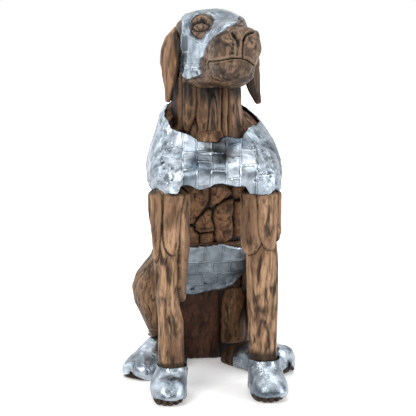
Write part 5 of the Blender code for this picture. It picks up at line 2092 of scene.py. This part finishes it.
@dataclass(frozen=True)
class FaceDrawing:
    """The dog's face as the photograph shows it, for the side of the head that is seen."""

    pushes: tuple = (
        Push((238, 9), 15, (0, 4.6)), Push((226, 8), 12, (0, 1.6)), Push((251, 22), 13, (-1, 3.6)),
        Push((263, 61), 14, (-3.6, -0.5)), Push((260, 71), 12, (-4.6, -0.5)),
        Push((216, 91), 18, (0, -2.8)), Push((186, 78), 13, (-4, 2.6)), Push((181, 66), 11, (-1.5, 0)),
        Push((181, 25), 12, (-2.8, -0.2)), Push((184, 12), 10, (-0.6, -1.4)),
        Push((259, 33), 9, (1.2, -1.6)),
    )
    eye: Pair = (201, 27)
    eye_socket: Pair = (15.5, 12.5)  # half its width and height
    window: tuple = (
        (190, 28.3), (190.8, 23), (193.4, 18.6), (197, 15.9), (203, 15), (210, 15.6), (213.4, 18.6),
        (214.2, 22), (212.9, 26), (211.4, 29.4), (206.9, 32), (204.6, 36.5), (201.5, 39.3), (197.2, 39.3),
        (193, 36), (190.8, 33),
    )
    sheet: tuple = (
        (183, 16.2), (182, 20), (182.4, 24), (182.6, 30), (181.3, 37.5), (180.4, 52), (179.8, 63),
        (181.3, 74.5), (184, 77.2), (187.5, 79.2), (191.3, 78.2), (196.3, 76.6), (201.2, 75.2), (202, 72.5),
        (200.2, 70), (200.6, 65), (201.4, 58.6), (204.4, 56.4), (205.8, 50), (210, 42.5), (213.8, 36.9),
        (220, 33.4), (226.3, 29.2), (232.2, 25.4), (237.6, 23.6), (237.6, 19), (240.4, 15), (240.4, -20),
        (192, -20), (191.2, 9.6), (186.4, 12.4),
    )
    strips: tuple = (
        ((183.3, 35.5), (188.6, 36.5), (189, 50.5), (184.4, 51.5), (182.9, 45)),
        ((183.8, 53), (188, 53), (187.6, 62.5), (182.8, 62)),
    )
    # each mark's dark value paints the wood darker: its mottles, and painted shade in the carved hollows,
    # grooves and nostrils and along the sheet's edges; values below 0 take darkness away
    marks: tuple = (
        # near eye
        Dab((201, 27), (13.5, 10.5), -3.2),
        Pad(((191.6, 28.7), (193.4, 25.2), (197, 22.8), (201.2, 22), (205.6, 23.2), (208.9, 25.8),
            (206.2, 28.9), (201, 30.7), (195.8, 30.5)), 3.6, 4.6, 0.3),
        Stroke(((191.6, 28.7), (193.4, 25.2), (197, 22.6), (201.2, 21.8), (205.6, 23), (209, 25.8),
            (206.2, 29.1), (201, 31), (195.8, 30.8)), 1.25, -2.4, 0.95, True),
        Stroke(((191, 29.5), (192.8, 24.6), (196.8, 21.6), (201.4, 20.7), (206.2, 22.2), (209.8, 25.4)),
            1.5, -1.2, 0.85),
        Stroke(((193.4, 21.4), (197, 18.6), (201.4, 17.7), (206.4, 18.9), (210.5, 22)), 2.1, 2.4),
        Stroke(((194, 18.6), (198, 16.4), (203, 15.9), (209, 17)), 1.2, -1.2, 0.45),
        Stroke(((197.2, 26.8), (198.2, 24.6), (200.5, 23.8), (202.8, 24.6), (203.8, 26.8), (202.8, 28.9),
            (200.5, 29.6), (198.2, 28.9)), 0.95, -1.2, 0.65, True),
        Dab((200.5, 26.8), (3.2, 3.1), 1.6, -0.35), Dab((200.6, 26.9), (1.3, 1.3), -0.6, 0.5),
        Stroke(((190.8, 24), (193, 21), (197, 19), (202, 18.8), (207, 20.4)), 1.4, 0.6, -0.3),
        Stroke(((194.6, 33.4), (199.4, 35.2), (204.4, 33.2)), 2.4, 1.2), Dab((212, 20.5), (3, 5), 0, 0.85),
        Stroke(((190.4, 31), (193.2, 35.2), (197.2, 38.8), (201.4, 38.9)), 1.6, -0.6, 0.75),
        Stroke(((190.6, 26), (193, 19.6), (197.4, 16.3)), 1.5, -0.4, 0.7),
        # far eye
        Dab((244.5, 21.5), (7.5, 5), -1.6, 0.45),
        Stroke(((239.4, 23.2), (242.4, 20), (246.4, 20.8), (250.2, 25.2)), 1.2, -2.2, 0.95),
        Stroke(((238.6, 18.4), (242, 17.2), (246.6, 19.4), (250.8, 24.6)), 0.9, -0.8, 0.8),
        Dab((244, 23.4), (3.4, 1.8), 1.6), Stroke(((239, 24.9), (245, 25.6), (251, 26.4)), 1.1, -1.8, 0.9),
        # nose
        Pad(((229, 35), (229.6, 31.6), (233.4, 29.2), (240, 27.9), (247, 27.7), (253, 29.2), (255, 31.4),
            (251.6, 34.4), (246.8, 37), (243.5, 41), (240.8, 43), (238.2, 40.2), (236, 38.6),
            (231.4, 38.4)), 2.8, 4.6),
        Stroke(((231.8, 33.4), (233.2, 36), (235.6, 38)), 2.3, -6, 1),
        Dab((234.4, 35.4), (3.4, 3.2), -3, 0.9),
        Stroke(((230.4, 36.8), (230, 33.8), (231.4, 31.6)), 1.3, 1.2, -0.3),
        Stroke(((232, 30.8), (235.4, 31.2), (238.4, 34), (240.4, 38.2), (240.8, 42)), 2, 2.6, -0.3),
        Stroke(((236.6, 39.4), (238.6, 42.6), (239, 46)), 1.6, -1.8, 0.6),
        Stroke(((243.4, 40.4), (244.4, 37.2), (247, 34.6), (250.4, 33), (253.6, 31.8)), 2.2, -6.2, 1),
        Stroke(((240, 28.6), (247, 28.4), (253, 29.2)), 2.4, 1.6),
        Stroke(((255, 29), (258.4, 32), (260.4, 37)), 2.6, -0.8, 0.55),
        Stroke(((244.6, 38), (243.3, 41.5), (242.9, 48), (242.6, 57.6)), 1.2, -3.4, 0.95),
        Stroke(((240.4, 42), (240.4, 50), (240.3, 57)), 1.8, 1.5),
        Stroke(((236.8, 40), (237.2, 48), (237.4, 56)), 1.7, -1.3, 0.4),
        # muzzle
        Dab((252, 48), (10.5, 14), 4.6), Dab((222, 46), (14, 13), 3, -0.1),
        Dab((233, 44), (3.6, 5.5), -1.8, 0.5), Dab((228.5, 33), (5, 2.6), 0, 0.35),
        Stroke(((229.4, 35.4), (231, 39.2), (235.4, 40.2)), 1.3, -1.4, 0.4),
        Stroke(((226.5, 31.5), (219, 35.5), (214.5, 40), (211, 47)), 2.6, -1, 0.55),
        Dab((232.6, 48), (2.8, 7.5), -0.3, 0.6), Dab((219.5, 43), (4.2, 6), 0, 0.4),
        Dab((226, 38.5), (4, 2.6), 0, 0.35), Dab((257.5, 34.5), (3.2, 4.5), 0, 0.6),
        Dab((233.8, 44.5), (1.3, 1.3), -2.2, 0.95), Dab((232.3, 53), (1.6, 1.6), -2.8, 1),
        Dab((236.7, 55), (1.3, 1.3), -2.2, 0.95), Dab((214, 51), (2.2, 3), 0, 0.35),
        # mouth
        Stroke(((209, 61.2), (212.5, 61.9), (220, 60.7), (226, 59.5), (231.5, 58.5), (236, 58.4),
            (240, 58.2), (245, 59.5), (250, 62.2), (254.6, 65.6)), 1.1, -4.4, 0.75),
        Stroke(((210, 59), (220, 58.2), (231, 56), (240, 55.6), (247, 57.2), (253, 61)), 2.4, 1.9),
        Stroke(((212, 64.2), (221, 63), (231, 61), (240, 60.8), (248, 63.6)), 1.7, -0.9, 0.3),
        Stroke(((209, 61.2), (207.7, 64.4), (207.9, 68.8)), 1.3, -3, 0.85),
        Stroke(((206.2, 58.8), (205, 63.5), (205.3, 70)), 1.3, -1.4, 0.45),
        Stroke(((203, 57), (202.8, 64), (203.4, 71)), 1.2, -0.8, 0.35), Dab((212, 66.5), (4.5, 4.5), 1.2),
        Dab((217.4, 67.6), (5, 5), 0.8),
        Stroke(((214, 67.4), (215.4, 64.8), (218, 64.2), (220.4, 66), (220.2, 69), (217.6, 70.8),
            (214.9, 69.8)), 1, -0.7, 0.45, True),
        Dab((232, 72), (16, 9), 1.8), Stroke(((254.6, 65.6), (252.8, 70), (250.4, 75)), 2.2, -1.6, 0.45),
        Stroke(((186, 80.6), (196, 78.6), (204, 77)), 1.6, -0.6, 0.5), Dab((243, 79), (6, 5), -0.3, 0.35),
        Dab((226, 80), (6, 3.5), 0, 0.35),
        # painted shade over the lower jaw
        Pad(((205, 62), (254, 62), (262, 92), (180, 96), (180, 84), (205, 77)), 4, 0, 0.22),
        Dab((247, 70), (3.5, 3.5), 0, 0.35), Dab((222.5, 72.5), (4, 2), 0, 0.3),
        Dab((200, 83.5), (6, 3), 0, 0.35), Dab((186.5, 81.5), (4, 3), 0, 0.4),
        Dab((215, 41), (3.4, 3.2), 0, 0.4), Dab((212, 47.5), (2.6, 3.4), 0, 0.45),
        Dab((225, 47), (3, 2.6), -0.3, 0.4), Dab((221, 56), (4, 1.6), 0, 0.3),
        Dab((258.6, 42), (3, 6), 0, 0.4), Dab((249, 44), (4, 6), 0, -0.25),
    )

    def work(self, seen: Array) -> tuple[Array, Array]:
        """All marks together.

        Args:
            seen: Places of the drawing.

        Returns:
            Heights in metres, and how dark the wood is painted: its mottles and painted shade.
        """
        lifts, darks = zip(*(mark.work(seen) for mark in self.marks))
        return sum(lifts) / 1000, np.clip(sum(darks), 0, 1.4)

    def sheet_depth(self, seen: Array) -> Array:
        """How deep places lie inside the sheet's outline, in squares."""
        return np.minimum(polygon_depth(seen, self.sheet), -polygon_depth(seen, self.window))


@dataclass
class Head:
    """The carved head and the sheet over forehead and cheeks."""

    yaw: float = 12.0
    pitch: float = 9.0
    roll: float = 5.0
    place: Triple = (0.009, -0.006, 0.728)
    mouth: float = 0.047
    voxel: float = 0.00168
    thickness: float = 0.0012  # of the sheet
    girth_radius: float = 0.066  # turns the way round the head into metres
    mask_turn: float = 117.5  # turn to which the sheet reaches on the far side
    mask_degree: float = 0.00135  # metres to a degree there
    wood_seed: int = 61
    sheet_seed: int = 71
    drawing: FaceDrawing = FaceDrawing()
    profile: tuple = (  # forward, crown, throat, half width, squareness
        (-0.083, 0.01, -0.034, 0.024, 2.0), (-0.076, 0.038, -0.058, 0.048, 2.3),
        (-0.058, 0.06, -0.078, 0.067, 3.0), (-0.028, 0.072, -0.09, 0.0735, 3.7),
        (0.002, 0.074, -0.093, 0.073, 3.7), (0.028, 0.068, -0.095, 0.069, 3.5),
        (0.05, 0.054, -0.097, 0.063, 3.0), (0.072, 0.042, -0.096, 0.0575, 2.6),
        (0.1, 0.033, -0.095, 0.054, 2.4), (0.124, 0.027, -0.091, 0.052, 2.5),
        (0.14, 0.02, -0.082, 0.046, 2.5), (0.149, 0.008, -0.07, 0.035, 2.4),
        (0.153, -0.006, -0.054, 0.02, 2.2),
    )
    front: tuple = (
        (0, 9, 36, 59, 70, 78, 84, 90, 102, 111, 117),
        (0.138, 0.141, 0.142, 0.132, 0.127, 0.116, 0.094, 0.074, 0.058, 0.057, 0.046),
    )
    far_front: tuple = (
        (0, 9, 20, 36, 59, 70, 78, 90, 102, 111, 117),
        (0.138, 0.132, 0.09, 0.058, 0.052, 0.054, 0.06, 0.066, 0.058, 0.057, 0.046),
    )
    back: tuple = (
        (0, 18, 28, 38, 60, 80, 118), (-0.05, -0.012, 0.002, 0.004, 0.01, 0.0, -0.012),
    )

    def skin(self) -> Skin:
        """The head's plain form; local +X is the dog's right, +Y down and +Z forward."""
        yaw, pitch, roll = (math.radians(value) for value in (self.yaw, self.pitch, self.roll))
        forward = Vector((math.sin(yaw) * math.cos(pitch), -math.cos(yaw) * math.cos(pitch), math.sin(pitch)))
        side = Vector((-math.cos(yaw), -math.sin(yaw), 0.0))
        top = -forward.cross(side) * math.cos(roll) + side * math.sin(roll)
        rings = [(level, 0.0, -(crown + throat) / 2, half, (crown - throat) / 2, square, 0.0)
                 for level, crown, throat, half, square in self.profile]
        return Skin(rings, placed(ORIGIN + Vector(self.place), forward, top))

    def block(self, skin: Skin, name: str) -> Workpiece:
        """The head before carving, evenly meshed and pushed into shape.

        Args:
            skin: Its form.
            name: Name of the piece.

        Returns:
            The piece.
        """
        rows, step = 70, 4.0  # rows, crowded toward both ends, and degrees between the columns
        share = 0.5 - 0.5 * np.cos(np.pi * np.linspace(0, 1, rows))
        levels = (skin.low + (skin.high - skin.low) * share)[:, None]
        grid = skin.at(np.arange(0, 360, step)[None, :], levels)
        piece = Workpiece.from_grid(name, grid, True)
        bm = bmesh.new()
        bm.from_mesh(piece.mesh)
        bmesh.ops.holes_fill(bm, edges=bm.edges)
        bmesh.ops.recalc_face_normals(bm, faces=bm.faces)
        bm.to_mesh(piece.mesh)
        bm.free()
        piece.remesh(self.voxel)
        points = piece.softened(6)
        right, up, _ = np.array(SIGHT.turned).T
        for push in self.drawing.pushes:
            seen, scale = SIGHT.seen(points)
            share = bump(np.linalg.norm(seen - push.middle, axis=-1), push.reach) * scale
            points = points + share[:, None] * (push.shift[0] * right - push.shift[1] * up)
        piece.move(points)
        return piece

    def views(self, piece: Workpiece, skin: Skin) -> tuple[Array, Array, Array, Array]:
        """Where the drawing puts each vertex.

        Args:
            piece: The block.
            skin: Its form.

        Returns:
            Squares as seen, squares of the mirrored far side, metres to a square, and 1 where the near
            view counts.
        """
        points = piece.points
        seen, scale = SIGHT.seen(points)
        local = skin.inside(points) * np.array((-1.0, 1.0, 1.0))
        mirrored, _ = SIGHT.seen(skin.outside(local))
        return seen, mirrored, scale, ease(SIGHT.facing(points, piece.normals), -0.02, 0.1)

    def mouth_line(self, right: Array, forward: Array) -> Array:
        """How far down the lips meet, at places to the right and forward."""
        line = self.mouth - 0.01 * ease(-forward, -0.135, -0.065)
        return line + 0.6 * np.clip(-0.004 - right, 0, 0.026)

    def carve(self, piece: Workpiece, skin: Skin) -> None:
        """Carves the face into the block.

        Args:
            piece: The block.
            skin: Its form.
        """
        points = piece.points
        right, down, forward = skin.inside(points).T
        seen, mirrored, _, near = self.views(piece, skin)
        lift, dark = self.drawing.work(seen)
        far_lift, far_dark = self.drawing.work(mirrored)
        hidden = (1 - near) * (right < 0) * ease(-forward, -0.125, -0.105) * (down < 0.02)
        lift, dark = lift * near + far_lift * hidden, dark * near + far_dark * hidden
        slit = (1 - near) * bump(down - self.mouth_line(right, forward), 0.0034) * ease(forward, 0.066, 0.076)
        lift = lift - 0.004 * slit + self.brow(right, down, forward)
        rough = 0.0011 * Noise.cloud(points, 0.026, self.wood_seed, 2)
        rough = rough + 0.00045 * Noise.cloud(points, 0.007, self.wood_seed + 1, 2)
        piece.swell(lift + rough)
        hollow = piece.crest(7)
        # painted shade in the hollows, the mouth slit and round the features
        cut = 0.6 * ease(-hollow, 0.00015, 0.0009) + slit + 0.55 * ease(-piece.crest(28), 0.0004, 0.003)
        # painted shade on the wood between the ear and the sheet
        back = 0.9 * near * ease(-(seen[:, 0] - 184.0), 0.0, 3.0) * ease(seen[:, 1], 24.0, 34.0)
        # painted shadow under the jaw
        under = 0.5 * ease(-points[:, 2], -0.645, -0.632)
        piece.mark("scorch_and_shade", np.clip(dark + cut + back + under, 0, 1))
        piece.mark("worn", np.clip(ease(hollow, 0.00012, 0.0007) * 0.6 * (1 - dark), 0, 1))

    @staticmethod
    def brow(right: Array, down: Array, forward: Array) -> Array:
        """Brows and the stop between them.

        Args:
            right: Distances to the dog's right of the head's middle.
            down: Distances below it.
            forward: Distances in front of it.

        Returns:
            Heights in metres.
        """
        away = np.hypot((np.abs(right) - 0.036) / 1.3, forward - 0.044) + 0.6 * np.abs(down + 0.06)
        brow = bump(away, 0.024)
        return 0.0028 * brow - 0.003 * bump(np.hypot(right, forward - 0.066), 0.026) * ease(-down, 0.0, 0.02)

    def cover(self, piece: Workpiece, skin: Skin) -> None:
        """Lifts the block's surface into the sheet where the sheet lies, and drops the rest.

        Args:
            piece: A second block.
            skin: Its form.
        """
        points = piece.points
        right, down, forward = skin.inside(points).T
        seen, mirrored, scale, near = self.views(piece, skin)
        ring = skin.values(forward)
        power = ring[:, 4] / 2
        x = np.clip(right / ring[:, 2], -1, 1)
        y = np.clip(-(down - ring[:, 1]) / ring[:, 3], -1, 1)
        turn = np.degrees(np.arctan2(np.sign(x) * np.abs(x) ** power, np.sign(y) * np.abs(y) ** power))
        reach = np.abs(turn)
        fore = np.where(right > 0, np.interp(reach, *self.front), np.interp(reach, *self.far_front))
        hidden = np.minimum(fore - forward, forward - np.interp(reach, *self.back))
        hidden = np.minimum(hidden, (self.mask_turn - reach) * self.mask_degree)
        away = -SIGHT.facing(points, piece.normals)
        far_face = (right < 0) & (forward > 0)
        hidden = np.where(far_face, np.minimum(hidden, 0.06 * (away - 0.12)), hidden)
        hole = polygon_depth(mirrored, self.drawing.window) * scale
        hidden = np.where(far_face, np.minimum(hidden, -hole), hidden)
        wobble = 0.0012 * Noise.cloud(points, 0.009, self.sheet_seed, 2)
        drawn = self.drawing.sheet_depth(seen) * scale
        depth = near * drawn + (1 - near) * hidden + wobble
        folds = crumple(points, self.sheet_seed + 1)
        lower = near * ease(seen[:, 1], 60.0, 66.0)
        beaten = 0.3 + 0.9 * lower + 0.8 * bump(depth, 0.01)
        columns = [-0.085, -0.055, -0.02, 0.02, 0.055, 0.085]
        tiling = Tiling(columns, {}, (0.03, 0.033), {}, self.sheet_seed + 2, bead=0.0006, tilt=0.0006)
        height, tone, seam = tiling.lay(np.radians(turn) * self.girth_radius, forward)
        lie = 0.0026 + self.brow(right, down, forward) + 0.45 * height + 0.0007 * beaten * folds
        socket = np.linalg.norm((seen - self.drawing.eye) / self.drawing.eye_socket, axis=-1)
        lie = lie - 0.0018 * near * bump(socket, 1.0)
        piece.swell(lie * ease(depth, -0.0009, 0.0009) - 0.005 * ease(-depth, -0.0005, 0.0016))
        # the sheet's brightness is painted reflection on tiles and folds
        tone = 0.5 + 0.3 * (tone - 0.5) + 0.4 * beaten * folds
        depths = [polygon_depth(seen, outline) for outline in self.drawing.strips]
        strip = near * ease(np.max(depths, axis=0), -0.3, 0.5)
        piece.mark("tile", np.clip(tone - 0.9 * strip, 0, 1))
        band = near * bump(seen[:, 1] - 63.6 - 0.4 * np.sin(seen[:, 0]), 0.8) * 0.6
        # painted shade beside the seams, in the folds and along the sheet's edges
        scorch_and_shade = 0.7 * seam + 0.7 * ease(-folds * beaten, 0.4, 1.0) + 0.75 * bump(depth, 0.0012)
        piece.mark("scorch_and_shade", np.clip(scorch_and_shade + band + 0.6 * strip, 0, 1))
        piece.mark("beaten", np.clip(beaten, 0, 1))
        piece.trim(depth > -0.0035)
        piece.thicken(self.thickness)

    def build(self) -> None:
        """The head and its mask."""
        skin = self.skin()
        head = self.block(skin, "head_wood")
        self.carve(head, skin)
        head.finish(Finish.HEAD.material(), Slot.WOOD.value, "head")
        mask = self.block(skin, "face_mask_sheet")
        self.cover(mask, skin)
        mask.finish(Finish.SHEET.material(), Slot.SHEET.value, "face_mask")


@dataclass
class Studio:
    """Floor, lights and the camera at the photograph's viewing angle."""

    front_tone: float = 0.34  # how bright the world is in front, where the camera stands
    aim: Triple = (0.0, -0.1, 0.42)  # what the softboxes face

    def build(self) -> None:
        """Sets up everything that isn't the hound."""
        self.floor()
        self.world()
        self.light("key_softbox", (-1.3, -2.0, 2.1), (1.2, 1.2), 44.0, (1.0, 0.98, 0.95))
        self.light("side_softbox", (2.0, -1.4, 1.4), (0.9, 1.6), 26.0, (0.95, 0.98, 1.0))
        self.light("top_softbox", (0.2, -0.3, 2.6), (1.4, 1.4), 20.0, (0.97, 0.99, 1.0))
        self.light("rim_softbox", (-1.8, 1.0, 1.5), (1.0, 1.6), 10.0, (0.92, 0.96, 1.0))
        self.camera()
        bpy.context.scene.view_settings.view_transform = "Standard"

    def floor(self) -> None:
        """A wide pale floor."""
        side = 30.0
        corners = np.array([(-side, -side, 0), (side, -side, 0), (side, side, 0), (-side, side, 0)], float)
        piece = Workpiece.from_faces("studio_floor", corners, [(0, 1, 2, 3)])
        sketch = Sketch("pale_floor")
        cloud = sketch.noise(sketch.coordinates, 2.0)
        sketch.shader.inputs["Emission Color"].default_value = (1.0, 1.0, 1.0, 1.0)
        split = sketch.tree.nodes.new("ShaderNodeSeparateXYZ")
        reach = sketch.tree.nodes.new("ShaderNodeVectorMath")
        reach.operation = "LENGTH"
        for node in (split, reach):
            sketch.tree.links.new(sketch.coordinates, node.inputs[0])
        behind = sketch.span(split.outputs["Y"], 0.6, 3.5, 0.25, 1.0)
        glow = sketch.sum("MAXIMUM", behind, sketch.span(reach.outputs["Value"], 2.5, 6.0, 0.25, 1.0))
        sketch.tree.links.new(glow, sketch.shader.inputs["Emission Strength"])
        piece.mesh.materials.append(sketch.done(
            sketch.blend(cloud, (0.9, 0.9, 0.9), (0.92, 0.92, 0.92)), 0.6, sketch.relief(cloud, 0.02, 0.001)))

    def world(self) -> None:
        """Pale light from all sides."""
        world = bpy.data.worlds.new("studio")
        bpy.context.scene.world = world
        world.use_nodes = True
        tree = world.node_tree
        background = tree.nodes["Background"]
        way, split = tree.nodes.new("ShaderNodeTexCoord"), tree.nodes.new("ShaderNodeSeparateXYZ")
        tone, ramp = tree.nodes.new("ShaderNodeMapRange"), tree.nodes.new("ShaderNodeCombineXYZ")
        preset(tone, {"From Min": -0.8, "From Max": 0.5, "To Min": self.front_tone, "To Max": 1.0})
        horizon, brighter = tree.nodes.new("ShaderNodeMapRange"), tree.nodes.new("ShaderNodeMath")
        preset(horizon, {"From Min": 0.16, "From Max": 0.3, "To Min": 1.0, "To Max": 0.0})
        brighter.operation = "MAXIMUM"
        tree.links.new(way.outputs["Generated"], split.inputs[0])
        tree.links.new(split.outputs["Y"], tone.inputs["Value"])
        tree.links.new(split.outputs["Z"], horizon.inputs["Value"])
        tree.links.new(tone.outputs["Result"], brighter.inputs[0])
        tree.links.new(horizon.outputs["Result"], brighter.inputs[1])
        for axis in "XYZ":
            tree.links.new(brighter.outputs["Value"], ramp.inputs[axis])
        tree.links.new(ramp.outputs[0], background.inputs["Color"])
        background.inputs["Strength"].default_value = 1.0

    def light(self, name: str, place: tuple, size: Pair, power: float, colour: Colour) -> None:
        """A softbox that faces the hound.

        Args:
            name: Its name.
            place: Its middle, in metres.
            size: Its width and height.
            power: Its power in watts.
            colour: Its colour.
        """
        data = bpy.data.lights.new(name, "AREA")
        data.shape, data.size, data.size_y = "RECTANGLE", *size
        data.energy, data.color = power, colour
        obj = linked(name, data)
        obj.location = place
        obj.rotation_euler = (Vector(self.aim) - Vector(place)).to_track_quat("-Z", "Y").to_euler()

    def camera(self) -> None:
        """The camera of the photograph."""
        data = bpy.data.cameras.new("camera")
        data.sensor_width, data.lens = 36.0, SIGHT.focal / SIGHT.width * 36.0
        data.shift_x = -SIGHT.shift / SIGHT.width
        obj = linked("camera", data)
        obj.location = SIGHT.place
        obj.rotation_euler = SIGHT.turned.to_euler()
        bpy.context.scene.camera = obj


def shown(frame: dict) -> list[str]:
    """Names of the CAD nodes that no piece stands for yet."""
    return [name for name, node in frame["nodes"].items() if not node.hide_render]


def main() -> None:
    """Builds the hound's looks, piece by piece."""
    logging.basicConfig(level=logging.INFO, format="%(message)s")
    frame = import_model()
    for slabs in (chest_slabs(), neck_slabs(), knob(), *seat_slabs()):
        slabs.build()
    Foreleg(Side.RIGHT, 0.096, (
        (250, 0, 0), (275, 0.6, -1.4), (293, 0.6, -2), (306, 1.6, -0.8), (320, 2.5, 3), (343, 2.5, 3.5),
        (370, 2.7, 3.4))).build()
    Foreleg(Side.LEFT, 0.0985, (
        (225, 0, 0), (240, 0, 2), (255, 0, 4.3), (280, 0, 5.6), (300, 0.3, 5.5), (340, 0.9, 4.7),
        (370, 1.6, 4))).build()
    Haunch(Side.RIGHT, 0.11).build()
    Haunch(Side.LEFT, 0.118).build()
    Ear(Side.RIGHT, (
        (24, 0, 0), (31, 1.3, 0), (50, 2.8, 0), (69, 4.4, 0), (87, 4.4, 0), (102, 2.2, 0)), (
        (178, 24), (173.2, 34), (173.8, 45), (176, 60), (174.2, 75), (171, 90), (168, 102))).build()
    Ear(Side.LEFT, (
        (70, 0, 0), (80, 1.2, 0.4), (90, 2.6, 1.2), (101, 5.5, 2.6)), (
        (255, 72), (254.8, 80), (256.2, 88), (258, 97), (258.4, 104)), 0.68).build()
    Paw(Side.RIGHT, -0.099, 0.87, 0.0, 0.85).build()
    Paw(Side.LEFT, 0.1015, 0.93, 0.007, 0.3).build()
    Tail().build()
    HindFoot(Side.RIGHT).build()
    HindFoot(Side.LEFT).build()
    Cape().build()
    Timber().build(shown(frame))
    BellyPlate().build()
    Covers().build()
    Head().build()
    for node in FILLERS:
        mesh = frame["nodes"][node].data
        mesh.materials.clear()
        mesh.materials.append(Finish.FILLER.material())
    LOG.info("CAD nodes still shown: %s", ", ".join(shown(frame)))
    Studio().build()


if __name__ == "__main__":
    main()
